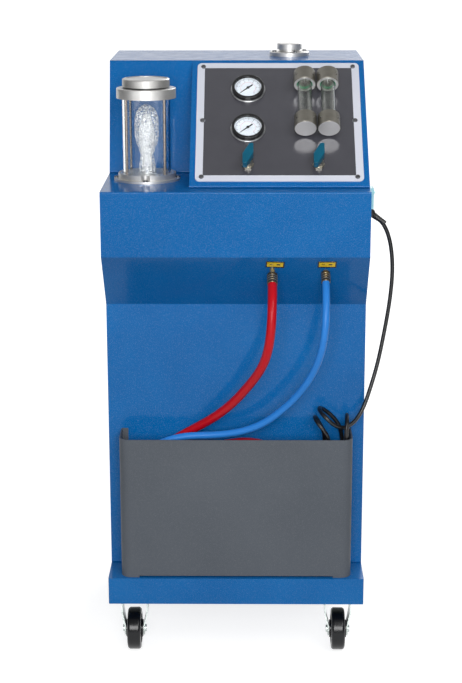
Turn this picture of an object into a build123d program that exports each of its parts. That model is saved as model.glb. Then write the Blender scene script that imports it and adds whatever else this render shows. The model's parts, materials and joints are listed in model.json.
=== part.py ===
from build123d import *
import math
import os

# Millimetres. X is to the right, Y to the back, Z up; the floor is Z = 0 and the
# origin is below the middle of the cabinet.

# Cabinet
width = 450
depth = 473
base_height = 48
body_height = 479
slant_height = 99
fascia_height = 110
head_height = 193
base_setback = 4
body_setback = 80
console_setback = 36
wall_setback = 204
hood_setback = 257
console_left_share = 0.3467
sheet = 1.5
bend = 2.5
lip = 18
cut = 1.0
rest_gap = 0.3
fit = 0.05
bolt_fit = 0.1

# Rear panel and screws
rear_margin = 24
rear_lip = 12
louvre_length = 60
louvre_height = 5
louvre_pitch = 14
louvre_rows = 6
louvre_spread = 60
screw_radius = 1.9
screw_length = 8
screw_head_radius = 4
screw_head_height = 2.4
screw_slot_radius = 1.3
screw_slot_depth = 1.2

# Base holes
base_hole_length = 90
base_hole_width = 70

# Hose basket
basket_side_margin = 22.5
basket_height = 251
basket_front_setback = 10
basket_sheet = 2
basket_corner = 18
basket_flange = 12
basket_foot_gap = 3
basket_foot_length = 32

# Instrument plate
plate_side_gap = 9.5
plate_end_gap = 11.7
plate_thickness = 2
plate_corner = 8
plate_raise = 3
plate_side_margin = 20
plate_end_margin = 9
film_side_margin = 13
film_end_margin = 12.5
film_thickness = 0.5
plate_screw_side_inset = 10.5
plate_screw_end_inset = 9
film_notch = 4.6

# Gauges, from the face of the film outward
gauge_left_share = 0.1866
gauge_upper_share = 0.263
gauge_lower_share = -0.0741
gauge_body_radius = 24.5
gauge_hole_fit = 0.3
gauge_body_depth = 28
gauge_rim_radius = 26.5
gauge_rim_height = 7
gauge_floor = 3
gauge_bore_radius = 23.6
gauge_stem_radius = 7
gauge_stem_length = 12
gauge_thread_radius = 5
gauge_thread_length = 14
dial_thickness = 0.8
dial_hole_radius = 1.6
lens_radius = 25.2
lens_thickness = 1.2
bezel_radius = 28.2
bezel_lip = 1.3
bezel_lip_radius = 23.4
needle_length = 18
needle_tail = 10.5
needle_tip_width = 0.7
needle_tail_width = 2.4
needle_thickness = 0.6
needle_raise = 1.6
needle_hub_radius = 2.6
needle_pin_radius = 1.0
needle_pin_depth = 6
needle_rest_angle = 221

# Sight tubes
sight_right_margin = 57
sight_pitch = 40
sight_centre_share = 0.0944
sight_length = 128
sight_cap_radius = 19.2
sight_cap_length = 27.5
sight_standoff = 3
sight_bore_radius = 13.8
sight_bore_depth = 16
sight_glass_radius = 12.4
sight_glass_wall = 2.2
sight_seal_depth = 4
sight_seal_recess = 1.5
sight_stem_radius = 6
sight_stem_depth = 16
sight_passage_radius = 3.5
sight_collar_radius = 9
sight_nut_width = 18
sight_nut_height = 6
spanner_hole_radius = 1.8
spanner_hole_depth = 3
spanner_hole_angle = 50
sight_chamfer = 0.8

# Valves and their handles
valve_right_share = 0.2342
valve_drop_share = 0.374
valve_body_radius = 12
valve_body_depth = 40
valve_bush_radius = 7.8
valve_bush_height = 12
valve_port_radius = 6
valve_port_length = 12
valve_port_bore = 4
valve_nut_width = 18
valve_nut_height = 3.5
valve_stem_radius = 3
valve_stem_depth = 20
handle_low = 14
handle_thickness = 13
handle_half_width = 9.4
handle_reach = 27.4
handle_corner_radius = 2.2
handle_round = 1
handle_outline_shares = [(1, 1), (1, 0.24), (-0.2, -0.6), (-0.97, -0.6), (-1, 0.16), (0.28, 1)]

# Reservoir
reservoir_shift = 2.5
reservoir_wall_gap = 65.4
reservoir_flange_radius = 57.3
reservoir_flange_height = 3.5
reservoir_ring_radius = 50
reservoir_ring_height = 9
reservoir_gap_height = 128
reservoir_top_radius = 51
reservoir_top_height = 17
reservoir_bore_radius = 29
reservoir_glass_radius = 41.5
reservoir_glass_wall = 3.5
reservoir_groove = 5
reservoir_seal_height = 1.5
rod_radius = 2.5
rod_circle = 46
rod_seat = 5
rod_count = 4
rod_turn = 45
reservoir_cap_radius = 40.7
reservoir_cap_height = 14
reservoir_neck_radius = 36
reservoir_neck_height = 2
reservoir_plug_depth = 9
cap_edge = 2.5
cap_dish_depth = 1.2
cap_dish_margin = 4
reservoir_screw_circle = 53.2
reservoir_screw_count = 4
reservoir_pocket_radius = 8.5
standpipe_radius = 6
standpipe_bore = 4
standpipe_above = 60
standpipe_below = 26
sock_foot = 1.2
sock_foot_radius = 15
sock_neck_height = 33
sock_neck_radius = 12
sock_belly_low = 50
sock_belly_high = 92
sock_belly_radius = 20.5
sock_top = 112
sock_top_radius = 9

# Filler
filler_x = 96
filler_shift = 4
filler_flange_radius = 36.4
filler_flange_height = 7.5
filler_neck_radius = 19
filler_bore_radius = 15
filler_neck_above = 3.5
filler_neck_below = 40
filler_cap_radius = 22.5
filler_cap_height = 11
filler_plug_depth = 12
filler_screw_circle = 29.5
filler_screw_count = 4
filler_screw_turn = 20

# Hose fittings on the slanted face, below its upper edge
red_fitting_x = 61.6
blue_fitting_x = 151.6
red_fitting_drop = 30
blue_fitting_drop = 36
red_nipple_length = 13
blue_nipple_length = 4
ferrule_length = 21
red_hose_diameter = 15.5
blue_hose_diameter = 13
ferrule_wall = 0.75
nipple_radius = 4.6
nipple_inside = 30
fitting_nut_width = 17
fitting_nut_height = 6
ferrule_chamfer = 1.2
label_width = 30
label_height = 14
label_thickness = 0.8
label_x_shift = 4.8
label_x_shift_right = 2
label_drop = 18
label_tilt = -3

# Hose coils in the basket
coil_clear = 1.5
blue_coil_clear = 4
red_coil_pitch = 17
blue_coil_pitch = 14.5
layer_clear = 1.0
red_coil_radius = 122
blue_coil_radius = 105
red_first_radius = 95
blue_first_radius = 90
red_coil_right = 121
blue_coil_right = 115
coil_left_drop = 25
coil_exit = 42
turn_straight_share = 0.75
coil_floor = 0.4
hose_end_length = 34
hose_end_nut_length = 14
hose_end_tail_radius = 5
hose_end_tail_length = 16

# Power cord
cord_diameter = 7
gland_setback = 85
gland_drop = 50
gland_radius = 8
gland_nut_length = 5
gland_reach = 11
gland_tilt = 35
gland_exit_radius = 4.8
gland_thread_radius = 6
gland_inside = 16
gland_back_nut = 9
gland_back_nut_height = 5
plug_width = 34
plug_thickness = 14
plug_length = 36
plug_round = 3
plug_waist = 10
plug_sleeve_length = 22
plug_sleeve_radius = 5
plug_pin_radius = 2
plug_pin_length = 19
plug_pin_spread = 19

# Switch on the right side
switch_setback = 85
switch_drop = 23.5
switch_width = 23
switch_tall = 36
switch_proud = 9.3
switch_wall = 2.5
switch_inside = 22
rocker_tall = 25
rocker_width = 15
rocker_back = 5
rocker_front = 4.5
rocker_vee = 3
rocker_tilt = 6
rocker_pivot = 2.9
rocker_pin_radius = 1.5
rocker_pin_length = 1.6
rocker_gap = 0.35
rocker_end_gap = 1.8

# Casters
wheel_top_gap = 13.7
wheel_radius = 37.5
wheel_width = 24
tyre_round = 5
rim_radius = 26
rim_width = 21
hub_radius = 15.8
hub_width = 30
axle_radius = 4
axle_head_radius = 6.5
axle_head_length = 3
caster_inset_x = 43
caster_inset_y = 63
caster_trail = 26
caster_plate = 60
caster_plate_thickness = 3
race_radius = 17
race_height = 5.5
crown_radius = 23
fork_sheet = 2.5
kingpin_radius = 5
kingpin_head_radius = 8
kingpin_head_height = 3
fork_top_half = 23.7
fork_gap = 0.5
fork_shoulder_share = 0.62
fork_knee_share = 0.28
fork_foot_radius = 11
caster_bolt_spread = 22
caster_bolt_radius = 3
caster_bolt_head = 5
caster_bolt_head_height = 4
caster_nut_height = 5

# Inside
tank_side_gap = 22.5
tank_back_gap = 49.5
tank_height = 290
tank_wall = 3
tank_round = 14
tank_gap = 12
tank_setback = 122
tank_neck_height = 20
shelf_height = 330
shelf_flange = 16
shelf_hole_gap = 4
pump_gap = 12
pump_setback = 240
motor_radius = 32
motor_length = 120
pump_head_radius = 37
pump_head_length = 44
pump_foot = 50
pump_foot_thickness = 8
pump_pipe_radius = 6
pump_pipe_drop = 20
suction_hose_wall = 3
power_box_length = 105
power_box_depth = 90
power_box_height = 70
power_box_wall = 2
power_box_gap = 6
inner_hose_radius = 9
inner_hose_valve_lead = 48
inner_hose_fitting_lead = 62

# Sampling of hose and cord paths
arc_share = 0.45
arc_limit_share = 20
lead_share = 1.5
sample_share = 0.33

front = -depth / 2
back = depth / 2
side = width / 2
console_left = -side * console_left_share
caster_height = (
    2 * wheel_radius + wheel_top_gap + fork_sheet + rest_gap + race_height + caster_plate_thickness
)
base_low = caster_height
base_top = base_low + base_height
slant_low = base_top + body_height
fascia_low = slant_low + slant_height
ledge = fascia_low + fascia_height
top = ledge + head_height
body_front = front + body_setback
shelf_z = base_top + shelf_height
film_face = plate_thickness + film_thickness

# Reference planes on the two sloping faces: x to the right, y up the slope, z outward
panel_rise = Vector(0, hood_setback - console_setback, head_height).normalized()
panel_normal = Vector(0, -panel_rise.Z, panel_rise.Y)
slope_length = math.hypot(hood_setback - console_setback, head_height)
plate_width = side - console_left - 2 * plate_side_gap
plate_height = slope_length - 2 * plate_end_gap
film_width = plate_width - 2 * film_side_margin
film_height = plate_height - 2 * film_end_margin
panel_middle = Vector(
    (console_left + side) / 2,
    front + (console_setback + hood_setback) / 2,
    (ledge + top) / 2,
)
panel = Plane(
    origin=panel_middle + panel_rise * plate_raise,
    x_dir=(1, 0, 0),
    z_dir=panel_normal,
)
slant_rise = Vector(0, -body_setback, slant_height).normalized()
slant_normal = Vector(0, -slant_rise.Z, slant_rise.Y)
slant = Plane(origin=(0, front, fascia_low), x_dir=(1, 0, 0), z_dir=slant_normal)


def box(low, high):
    size = [b - a for a, b in zip(low, high)]
    middle = [(a + b) / 2 for a, b in zip(low, high)]
    return Pos(*middle) * Box(*size)


def rod(x, y, low, high, radius):
    """A cylinder along Z between two heights."""
    return Pos(x, y, (low + high) / 2) * Cylinder(radius, high - low)


def tube(x, y, low, high, radius, bore):
    return rod(x, y, low, high, radius) - rod(x, y, low - cut, high + cut, bore)


def rod_y(x, z, low, high, radius):
    """A cylinder along Y."""
    return Pos(x, (low + high) / 2, z) * Rot(90, 0, 0) * Cylinder(radius, high - low)


def rod_x(y, z, low, high, radius):
    """A cylinder along X."""
    return Pos((low + high) / 2, y, z) * Rot(0, 90, 0) * Cylinder(radius, high - low)


def nut(x, y, low, high, across, bore):
    """A hexagonal ring along Z."""
    hexagon = RegularPolygon(across / 2, 6, major_radius=False)
    solid = Pos(x, y, low) * extrude(hexagon, amount=high - low)
    if bore:
        solid -= rod(x, y, low - cut, high + cut, bore)
    return solid


def prism(points, low_x, high_x, rounding=0):
    """Extrude a side outline of (y, z) points between two X places."""
    face = make_face(Polyline(*points, close=True))
    if rounding:
        face = fillet(face.vertices(), rounding)
    return extrude(Plane.YZ.offset(low_x) * face, amount=high_x - low_x)


def inset_prism(points, low_x, high_x, wall):
    face = offset(make_face(Polyline(*points, close=True)), -wall, kind=Kind.INTERSECTION)
    return extrude(Plane.YZ.offset(low_x) * face, amount=high_x - low_x)


def screw(reach=screw_length):
    """A pan-head screw: its head stands on z = 0 and its shank goes down."""
    solid = rod(0, 0, 0, screw_head_height, screw_head_radius)
    rim = solid.edges().sort_by(Axis.Z)[-1]
    solid = fillet(rim, screw_head_height / 2)
    solid += rod(0, 0, -reach, 0, screw_radius)
    low = screw_head_height - screw_slot_depth
    slot = nut(0, 0, low, screw_head_height + cut, 2 * screw_slot_radius, 0)
    return solid - slot


def write(name, solids):
    solids = solids if isinstance(solids, list) else [solids]
    flat = []
    for solid in solids:
        flat.extend(solid.solids())
    shape = flat[0] if len(flat) == 1 else Compound(children=flat)
    export_step(shape, f"parts/{name}.step")


# Outlines of the cabinet and the head, as (y, z) points
cabinet_outline = [
    (body_front, base_top),
    (body_front, slant_low),
    (front, fascia_low),
    (front, ledge),
    (back, ledge),
    (back, base_top),
]
wall_outline = [
    (front + wall_setback, ledge),
    (front + hood_setback, top),
    (back, top),
    (back, ledge),
]
console_outline = [
    (front + console_setback, ledge),
    (front + hood_setback, top),
    (back, top),
    (back, ledge),
]


def head_opening(low, high):
    """The opening shared by the ledge and the underside of the head."""
    tall = (low, high)
    behind_wall = box(
        (-side + lip, front + hood_setback, tall[0]), (side - lip, back - lip, tall[1])
    )
    under_console = box(
        (console_left + lip, front + console_setback + lip, tall[0]),
        (side - lip, front + hood_setback + cut, tall[1]),
    )
    return behind_wall + under_console


def make_cabinet_shell():
    shell = prism(cabinet_outline, -side, side, bend)
    shell -= inset_prism(cabinet_outline, -side + sheet, side - sheet, sheet)
    bottom = box(
        (-side + lip, body_front + lip, base_top - cut),
        (side - lip, back - lip, base_top + sheet + cut),
    )
    rear = box(
        (-side + rear_margin, back - sheet - cut, base_top + rear_margin),
        (side - rear_margin, back + cut, ledge - rear_margin),
    )
    shell -= bottom + rear + head_opening(ledge - sheet - cut, ledge + cut)
    for x, drop in fitting_places:
        hole = rod(x, -drop, -sheet * 2, sheet, nipple_radius + bolt_fit)
        shell -= slant.location * hole
    pipe = standpipe_radius + bolt_fit
    shell -= rod(reservoir_x, reservoir_y, ledge - sheet - cut, ledge + cut, pipe)
    for place in reservoir_screw_places():
        hole = rod(*place, ledge - sheet - cut, ledge + cut, screw_radius + bolt_fit)
        shell -= hole
    for x, z in rear_screw_places():
        hole = rod_y(x, z, back - sheet - cut, back + cut, screw_radius + bolt_fit)
        shell -= hole
    window = switch_body(side - sheet - cut, side + cut, bolt_fit)
    shell -= window
    shell -= rod_x(gland_y, gland_height, side - sheet - cut, side + cut, gland_thread_radius + bolt_fit)
    return shell


def make_head_shell():
    head = prism(wall_outline, -side, side, bend)
    head += prism(console_outline, console_left, side, bend)
    hollow = inset_prism(wall_outline, -side + sheet, side - sheet, sheet)
    hollow += inset_prism(console_outline, console_left + sheet, side - sheet, sheet)
    head -= hollow
    head -= head_opening(ledge - cut, ledge + sheet + cut)
    window = box(
        (-plate_width / 2 + plate_side_margin, -plate_height / 2 + plate_end_margin, -sheet - cut),
        (plate_width / 2 - plate_side_margin, plate_height / 2 - plate_end_margin, cut),
    )
    head -= panel.location * window
    for u, v in plate_screw_places():
        head -= panel.location * rod(u, v, -sheet - cut, cut, screw_radius + bolt_fit)
    head -= rod(filler_x, filler_y, top - sheet - cut, top + cut, filler_neck_radius + bolt_fit)
    for place in filler_screw_places():
        head -= rod(*place, top - sheet - cut, top + cut, screw_radius + bolt_fit)
    return head


def make_base_tray():
    front_face = front + base_setback
    tray = box((-side, front_face, base_low), (side, back, base_top))
    tray = fillet(tray.edges().filter_by(Axis.Z), bend)
    tray -= box(
        (-side + sheet, front_face + sheet, base_low + sheet),
        (side - sheet, back - sheet, base_top - sheet),
    )
    middle = (front_face + back) / 2
    tray -= box(
        (-base_hole_length / 2, middle - base_hole_width / 2, base_low - cut),
        (base_hole_length / 2, middle + base_hole_width / 2, base_low + sheet + cut),
    )
    for x, y in caster_places():
        for bx, by in bolt_places(x, y):
            tray -= rod(bx, by, base_low - cut, base_low + sheet + cut, caster_bolt_radius + bolt_fit)
    return tray


# Hose basket: a tray-fronted sheet bent round two upright corners, with its
# flanges against the body
basket_width = width - 2 * basket_side_margin
basket_front = front + basket_front_setback
basket_low = base_top
basket_top = base_top + basket_height + basket_foot_gap


def basket_block(wall, low, high):
    half = basket_width / 2 - wall
    solid = box((-half, basket_front + wall, low), (half, body_front, high))
    corners = solid.edges().filter_by(Axis.Z).sort_by(Axis.Y)[:2]
    return fillet(corners, basket_corner - wall)


def make_basket():
    basket = basket_block(0, basket_low, basket_top)
    basket -= basket_block(basket_sheet, basket_low - cut, basket_top + cut)
    half = basket_width / 2
    for sign in (-1, 1):
        inner = sign * (half - basket_flange)
        outer = sign * half
        basket += box(
            (min(inner, outer), body_front - basket_sheet, basket_low),
            (max(inner, outer), body_front, basket_top),
        )
    reach = half - basket_foot_length
    basket -= box(
        (-reach, basket_front - cut, basket_low - cut),
        (reach, basket_front + basket_sheet + cut, basket_low + basket_foot_gap),
    )
    return basket


# Rear panel
def rear_screw_places():
    x_edge = side - rear_margin + rear_lip / 2
    z_low = base_top + rear_margin - rear_lip / 2
    z_high = ledge - rear_margin + rear_lip / 2
    rows = [z_low, (z_low + z_high) / 2, z_high]
    return [(sign * x_edge, z) for sign in (-1, 1) for z in rows]


def make_rear_panel():
    half = side - rear_margin + rear_lip
    low = base_top + rear_margin - rear_lip
    high = ledge - rear_margin + rear_lip
    plate = box((-half, back, low), (half, back + sheet, high))
    for x, z in rear_screw_places():
        plate -= rod_y(x, z, back - cut, back + sheet + cut, screw_radius + bolt_fit)
    for sign in (-1, 1):
        for row in range(louvre_rows):
            z = high - rear_margin * 2 - row * louvre_pitch
            x = sign * louvre_spread
            plate -= box(
                (x - louvre_length / 2, back - cut, z - louvre_height / 2),
                (x + louvre_length / 2, back + sheet + cut, z + louvre_height / 2),
            )
    return plate


# Instrument plate and the printed film on it
def plate_screw_places():
    reach = plate_width / 2 - plate_screw_side_inset
    high = plate_height / 2 - plate_screw_end_inset
    return [(sign * reach, v) for sign in (-1, 1) for v in (-high, 0, high)]


gauge_x = -gauge_left_share * plate_width
gauge_upper = gauge_upper_share * plate_height
gauge_lower = gauge_lower_share * plate_height
gauge_places = [(gauge_x, gauge_upper), (gauge_x, gauge_lower)]
valve_v = -valve_drop_share * plate_height
valve_places = [(gauge_x, valve_v), (valve_right_share * plate_width, valve_v)]
sight_right = plate_width / 2 - sight_right_margin
sight_places = [sight_right - sight_pitch, sight_right]
sight_centre = sight_centre_share * plate_height
sight_axis = film_face + sight_standoff + sight_cap_radius
sight_low = sight_centre - sight_length / 2
sight_high = sight_centre + sight_length / 2
sight_stem_places = [
    (u, v)
    for u in sight_places
    for v in (sight_low + sight_cap_length / 2, sight_high - sight_cap_length / 2)
]


def panel_holes(low, high):
    holes = []
    for u, v in gauge_places:
        holes.append(rod(u, v, low, high, gauge_body_radius + gauge_hole_fit))
    for u, v in valve_places:
        holes.append(rod(u, v, low, high, valve_bush_radius + bolt_fit))
    for u, v in sight_stem_places:
        holes.append(rod(u, v, low, high, sight_stem_radius + bolt_fit))
    return holes


def make_instrument_plate():
    plate = box(
        (-plate_width / 2, -plate_height / 2, 0),
        (plate_width / 2, plate_height / 2, plate_thickness),
    )
    plate = fillet(plate.edges().filter_by(Axis.Z), plate_corner)
    for hole in panel_holes(-cut, plate_thickness + cut):
        plate -= hole
    for u, v in plate_screw_places():
        plate -= rod(u, v, -cut, plate_thickness + cut, screw_radius + bolt_fit)
    return panel.location * plate


def make_panel_film():
    film = box(
        (-film_width / 2, -film_height / 2, plate_thickness),
        (film_width / 2, film_height / 2, film_face),
    )
    for hole in panel_holes(plate_thickness - cut, film_face + cut):
        film -= hole
    for u, v in plate_screw_places():
        film -= rod(u, v, plate_thickness - cut, film_face + cut, film_notch)
    return panel.location * film


# Gauges
rim_face = film_face + gauge_rim_height
dial_low = film_face + gauge_floor
dial_high = dial_low + dial_thickness
lens_face = rim_face + lens_thickness


def make_gauge_case(u, v):
    case = rod(u, v, -gauge_body_depth, film_face, gauge_body_radius)
    case += rod(u, v, film_face, rim_face, gauge_rim_radius)
    case -= rod(u, v, dial_low, rim_face + cut, gauge_bore_radius)
    stem_end = -gauge_body_depth - gauge_stem_length
    case += rod(u, v, stem_end, -gauge_body_depth, gauge_stem_radius)
    case += rod(u, v, stem_end - gauge_thread_length, stem_end, gauge_thread_radius)
    pin_low = dial_low - needle_pin_depth - rest_gap
    case -= rod(u, v, pin_low, dial_low + cut, needle_pin_radius + fit)
    return panel.location * case


def make_gauge_bezel(u, v):
    high = lens_face + bezel_lip
    bezel = rod(u, v, film_face, high, bezel_radius)
    edge = bezel.edges().sort_by(Axis.Z)[-1]
    bezel = fillet(edge, bezel_lip)
    bezel -= rod(u, v, film_face - cut, lens_face, gauge_rim_radius + bolt_fit)
    bezel -= rod(u, v, lens_face - cut, high + cut, bezel_lip_radius)
    return panel.location * bezel


def make_dial(u, v):
    return panel.location * tube(u, v, dial_low, dial_high, gauge_bore_radius - fit, dial_hole_radius)


def make_lens(u, v):
    return panel.location * rod(u, v, rim_face, lens_face, lens_radius)


def make_needle(u, v):
    low = dial_high + needle_raise / 2
    high = low + needle_thickness
    outline = Polyline(
        (needle_length, needle_tip_width / 2),
        (0, needle_tail_width / 2),
        (-needle_tail, needle_tail_width / 2),
        (-needle_tail, -needle_tail_width / 2),
        (0, -needle_tail_width / 2),
        (needle_length, -needle_tip_width / 2),
        close=True,
    )
    arm = extrude(make_face(outline), amount=needle_thickness)
    needle = Pos(u, v, low) * Rot(0, 0, needle_rest_angle) * arm
    needle += rod(u, v, low, high + needle_thickness, needle_hub_radius)
    needle += rod(u, v, dial_low - needle_pin_depth, low, needle_pin_radius)
    return panel.location * needle


# Sight tubes, along the slope
def along_slope(u, low, high, radius):
    return rod_y(u, sight_axis, low, high, radius)


def make_sight_cap(u, low, high, mouth):
    """mouth is 1 where the glass goes in at the high end, -1 at the low end."""
    middle = (low + high) / 2
    cap = along_slope(u, low, high, sight_cap_radius)
    cap = chamfer(cap.edges().filter_by(GeomType.CIRCLE), sight_chamfer)
    cap += rod(u, middle, film_face, sight_axis - sight_bore_radius, sight_collar_radius)
    cap += rod(u, middle, -sight_stem_depth, film_face, sight_stem_radius)
    if mouth > 0:
        cap -= along_slope(u, high - sight_bore_depth, high + cut, sight_bore_radius)
    else:
        cap -= along_slope(u, low - cut, low + sight_bore_depth, sight_bore_radius)
    cap -= rod(u, middle, -sight_stem_depth - cut, sight_axis, sight_passage_radius)
    for sign in (-1, 1):
        turn = Pos(u, middle, sight_axis) * Rot(0, sign * spanner_hole_angle, 0)
        deep = sight_cap_radius - spanner_hole_depth
        cap -= turn * rod(0, 0, deep, sight_cap_radius + cut, spanner_hole_radius)
    return panel.location * cap


def make_sight_caps():
    solids = []
    for u in sight_places:
        solids.append(make_sight_cap(u, sight_low, sight_low + sight_cap_length, 1))
        solids.append(make_sight_cap(u, sight_high - sight_cap_length, sight_high, -1))
    for u, v in sight_stem_places:
        ring = nut(u, v, -sight_nut_height, 0, sight_nut_width, sight_stem_radius + fit)
        solids.append(panel.location * ring)
    return solids


def make_sight_glasses():
    low = sight_low + sight_cap_length - sight_bore_depth
    high = sight_high - sight_cap_length + sight_bore_depth
    solids = []
    for u in sight_places:
        glass = along_slope(u, low, high, sight_glass_radius)
        bore = sight_glass_radius - sight_glass_wall
        glass -= along_slope(u, low - cut, high + cut, bore)
        solids.append(panel.location * glass)
    return solids


def make_sight_seals():
    solids = []
    for u in sight_places:
        mouths = [
            (sight_low + sight_cap_length - sight_seal_recess, -1),
            (sight_high - sight_cap_length + sight_seal_recess, 1),
        ]
        for place, way in mouths:
            ends = sorted((place, place + way * sight_seal_depth))
            seal = along_slope(u, *ends, sight_bore_radius - fit)
            seal -= along_slope(u, ends[0] - cut, ends[1] + cut, sight_glass_radius + fit)
            solids.append(panel.location * seal)
    return solids


# Valves
def make_valve_body(u, v):
    body = rod(u, v, -valve_body_depth, 0, valve_body_radius)
    body += rod(u, v, 0, film_face + valve_bush_height, valve_bush_radius)
    end = -valve_body_depth - valve_port_length
    body += rod(u, v, end, -valve_body_depth, valve_port_radius)
    body -= rod(u, v, end - cut, -valve_body_depth + valve_port_length, valve_port_bore)
    stem_end = -valve_stem_depth - rest_gap
    high = film_face + valve_bush_height + cut
    body -= rod(u, v, stem_end, high, valve_stem_radius + fit)
    return panel.location * body


def make_valve_nut(u, v):
    high = film_face + valve_nut_height
    ring = nut(u, v, film_face, high, valve_nut_width, valve_bush_radius + fit)
    return panel.location * ring


def make_valve_handle(u, v):
    """A wing-shaped lever, its tip to the upper right and its blunt tail to the lower left."""
    low = film_face + handle_low
    corners = [(a * handle_half_width, b * handle_reach) for a, b in handle_outline_shares]
    lever = extrude(make_face(Polyline(*corners, close=True)), handle_thickness)
    lever = fillet(lever.edges().filter_by(Axis.Z), handle_corner_radius)
    lever = fillet(lever.edges().group_by(Axis.Z)[-1], handle_round)
    lever = Pos(u, v, low) * lever
    stem = rod(u, v, -valve_stem_depth, low, valve_stem_radius)
    return [panel.location * lever, panel.location * stem]


# Reservoir
reservoir_x = (console_left - side) / 2 - reservoir_shift
reservoir_y = front + wall_setback - reservoir_wall_gap
ring_top = ledge + reservoir_flange_height + reservoir_ring_height
upper_low = ring_top + reservoir_gap_height
upper_high = upper_low + reservoir_top_height
glass_inner = reservoir_glass_radius - reservoir_glass_wall


def circle_places(x, y, radius, count, start):
    angles = [math.radians(start + 360 * i / count) for i in range(count)]
    return [(x + radius * math.cos(a), y + radius * math.sin(a)) for a in angles]


def reservoir_screw_places():
    return circle_places(reservoir_x, reservoir_y, reservoir_screw_circle, reservoir_screw_count, 0)


def rod_places():
    return circle_places(reservoir_x, reservoir_y, rod_circle, rod_count, rod_turn)


def glass_groove(low, high):
    outer = reservoir_glass_radius + bolt_fit
    return tube(reservoir_x, reservoir_y, low, high, outer, glass_inner - bolt_fit)


def make_reservoir_base():
    x, y = reservoir_x, reservoir_y
    step = ledge + reservoir_flange_height
    base = rod(x, y, ledge, step, reservoir_flange_radius)
    base += rod(x, y, step, ring_top, reservoir_ring_radius)
    base -= glass_groove(ring_top - reservoir_groove, ring_top + cut)
    base -= rod(x, y, ledge - cut, ring_top + cut, standpipe_radius + fit)
    for place in rod_places():
        base -= rod(*place, ring_top - rod_seat, ring_top + cut, rod_radius + fit)
    for place in reservoir_screw_places():
        base -= rod(*place, ledge - cut, step + cut, screw_radius + bolt_fit)
        base -= rod(*place, step, ring_top + cut, reservoir_pocket_radius)
    return base


def make_reservoir_top():
    x, y = reservoir_x, reservoir_y
    ring = rod(x, y, upper_low, upper_high, reservoir_top_radius)
    ring = fillet(ring.edges().sort_by(Axis.Z)[-1], cap_edge / 2)
    ring -= rod(x, y, upper_low - cut, upper_high + cut, reservoir_bore_radius)
    ring -= glass_groove(upper_low - cut, upper_low + reservoir_groove)
    for place in rod_places():
        ring -= rod(*place, upper_low - cut, upper_low + rod_seat, rod_radius + fit)
    return ring


def make_reservoir_cap():
    x, y = reservoir_x, reservoir_y
    seat = upper_high + rest_gap
    low = upper_high + reservoir_neck_height
    high = low + reservoir_cap_height
    cap = rod(x, y, low, high, reservoir_cap_radius)
    cap = fillet(cap.edges().sort_by(Axis.Z)[-1], cap_edge)
    cap += rod(x, y, seat, low, reservoir_neck_radius)
    plug = reservoir_bore_radius - bolt_fit
    cap += rod(x, y, upper_high - reservoir_plug_depth, seat, plug)
    dish = reservoir_cap_radius - cap_dish_margin
    return cap - rod(x, y, high - cap_dish_depth, high + cut, dish)


def make_filter_sock():
    bottom = ring_top + sock_foot
    outline = Spline(
        (sock_foot_radius, bottom),
        (sock_neck_radius, ring_top + sock_neck_height),
        (sock_belly_radius, ring_top + sock_belly_low),
        (sock_belly_radius, ring_top + sock_belly_high),
        (sock_top_radius, ring_top + sock_top),
    )
    closing = Polyline(
        (sock_top_radius, ring_top + sock_top),
        (0, ring_top + sock_top),
        (0, bottom),
        (sock_foot_radius, bottom),
    )
    face = make_face(Curve() + [outline, closing])
    sock = revolve(Plane.XZ * face, Axis.Z)
    bore_top = ledge + standpipe_above + reservoir_flange_height + rest_gap
    sock -= rod(0, 0, bottom - cut, bore_top, standpipe_radius + rest_gap)
    return Pos(reservoir_x, reservoir_y, 0) * sock


def make_standpipe():
    high = ledge + standpipe_above + reservoir_flange_height
    pipe = rod(reservoir_x, reservoir_y, ledge - standpipe_below, high, standpipe_radius)
    collar_low = ring_top
    pipe += rod(reservoir_x, reservoir_y, collar_low, collar_low + sock_foot, sock_foot_radius)
    return pipe - rod(reservoir_x, reservoir_y, ledge - standpipe_below - cut, high + cut, standpipe_bore)


# Filler
filler_y = (front + hood_setback + back) / 2 - filler_shift
filler_rim = top + filler_flange_height + filler_neck_above


def filler_screw_places():
    return circle_places(filler_x, filler_y, filler_screw_circle, filler_screw_count, filler_screw_turn)


def make_filler_flange():
    high = top + filler_flange_height
    flange = rod(filler_x, filler_y, top, high, filler_flange_radius)
    flange = chamfer(flange.edges().sort_by(Axis.Z)[-1], cap_edge / 2)
    flange += rod(filler_x, filler_y, top - filler_neck_below, filler_rim, filler_neck_radius)
    flange -= rod(filler_x, filler_y, top - filler_neck_below - cut, filler_rim + cut, filler_bore_radius)
    for place in filler_screw_places():
        flange -= rod(*place, top - cut, high + cut, screw_radius + bolt_fit)
    return flange


def make_filler_cap():
    low = filler_rim + rest_gap
    high = low + filler_cap_height
    cap = rod(filler_x, filler_y, low, high, filler_cap_radius)
    cap = chamfer(cap.edges().sort_by(Axis.Z)[-1], cap_edge / 2)
    plug = filler_bore_radius - bolt_fit
    return cap + rod(filler_x, filler_y, low - filler_plug_depth, low, plug)


# All the small pan-head screws
def make_pan_screws():
    solids = []
    for u, v in plate_screw_places():
        solids.append(panel.location * Pos(u, v, plate_thickness) * screw())
    for x, z in rear_screw_places():
        solids.append(Pos(x, back + sheet, z) * Rot(-90, 0, 0) * screw())
    for x, y in reservoir_screw_places():
        solids.append(Pos(x, y, ledge + reservoir_flange_height) * screw())
    for x, y in filler_screw_places():
        solids.append(Pos(x, y, top + filler_flange_height) * screw(filler_flange_height + screw_length / 2))
    return solids


# Hose fittings, along the outward direction of the slanted face
fitting_places = [(red_fitting_x, red_fitting_drop), (blue_fitting_x, blue_fitting_drop)]
fitting_sizes = [
    (red_nipple_length, red_hose_diameter / 2 + ferrule_wall),
    (blue_nipple_length, blue_hose_diameter / 2 + ferrule_wall),
]


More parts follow.
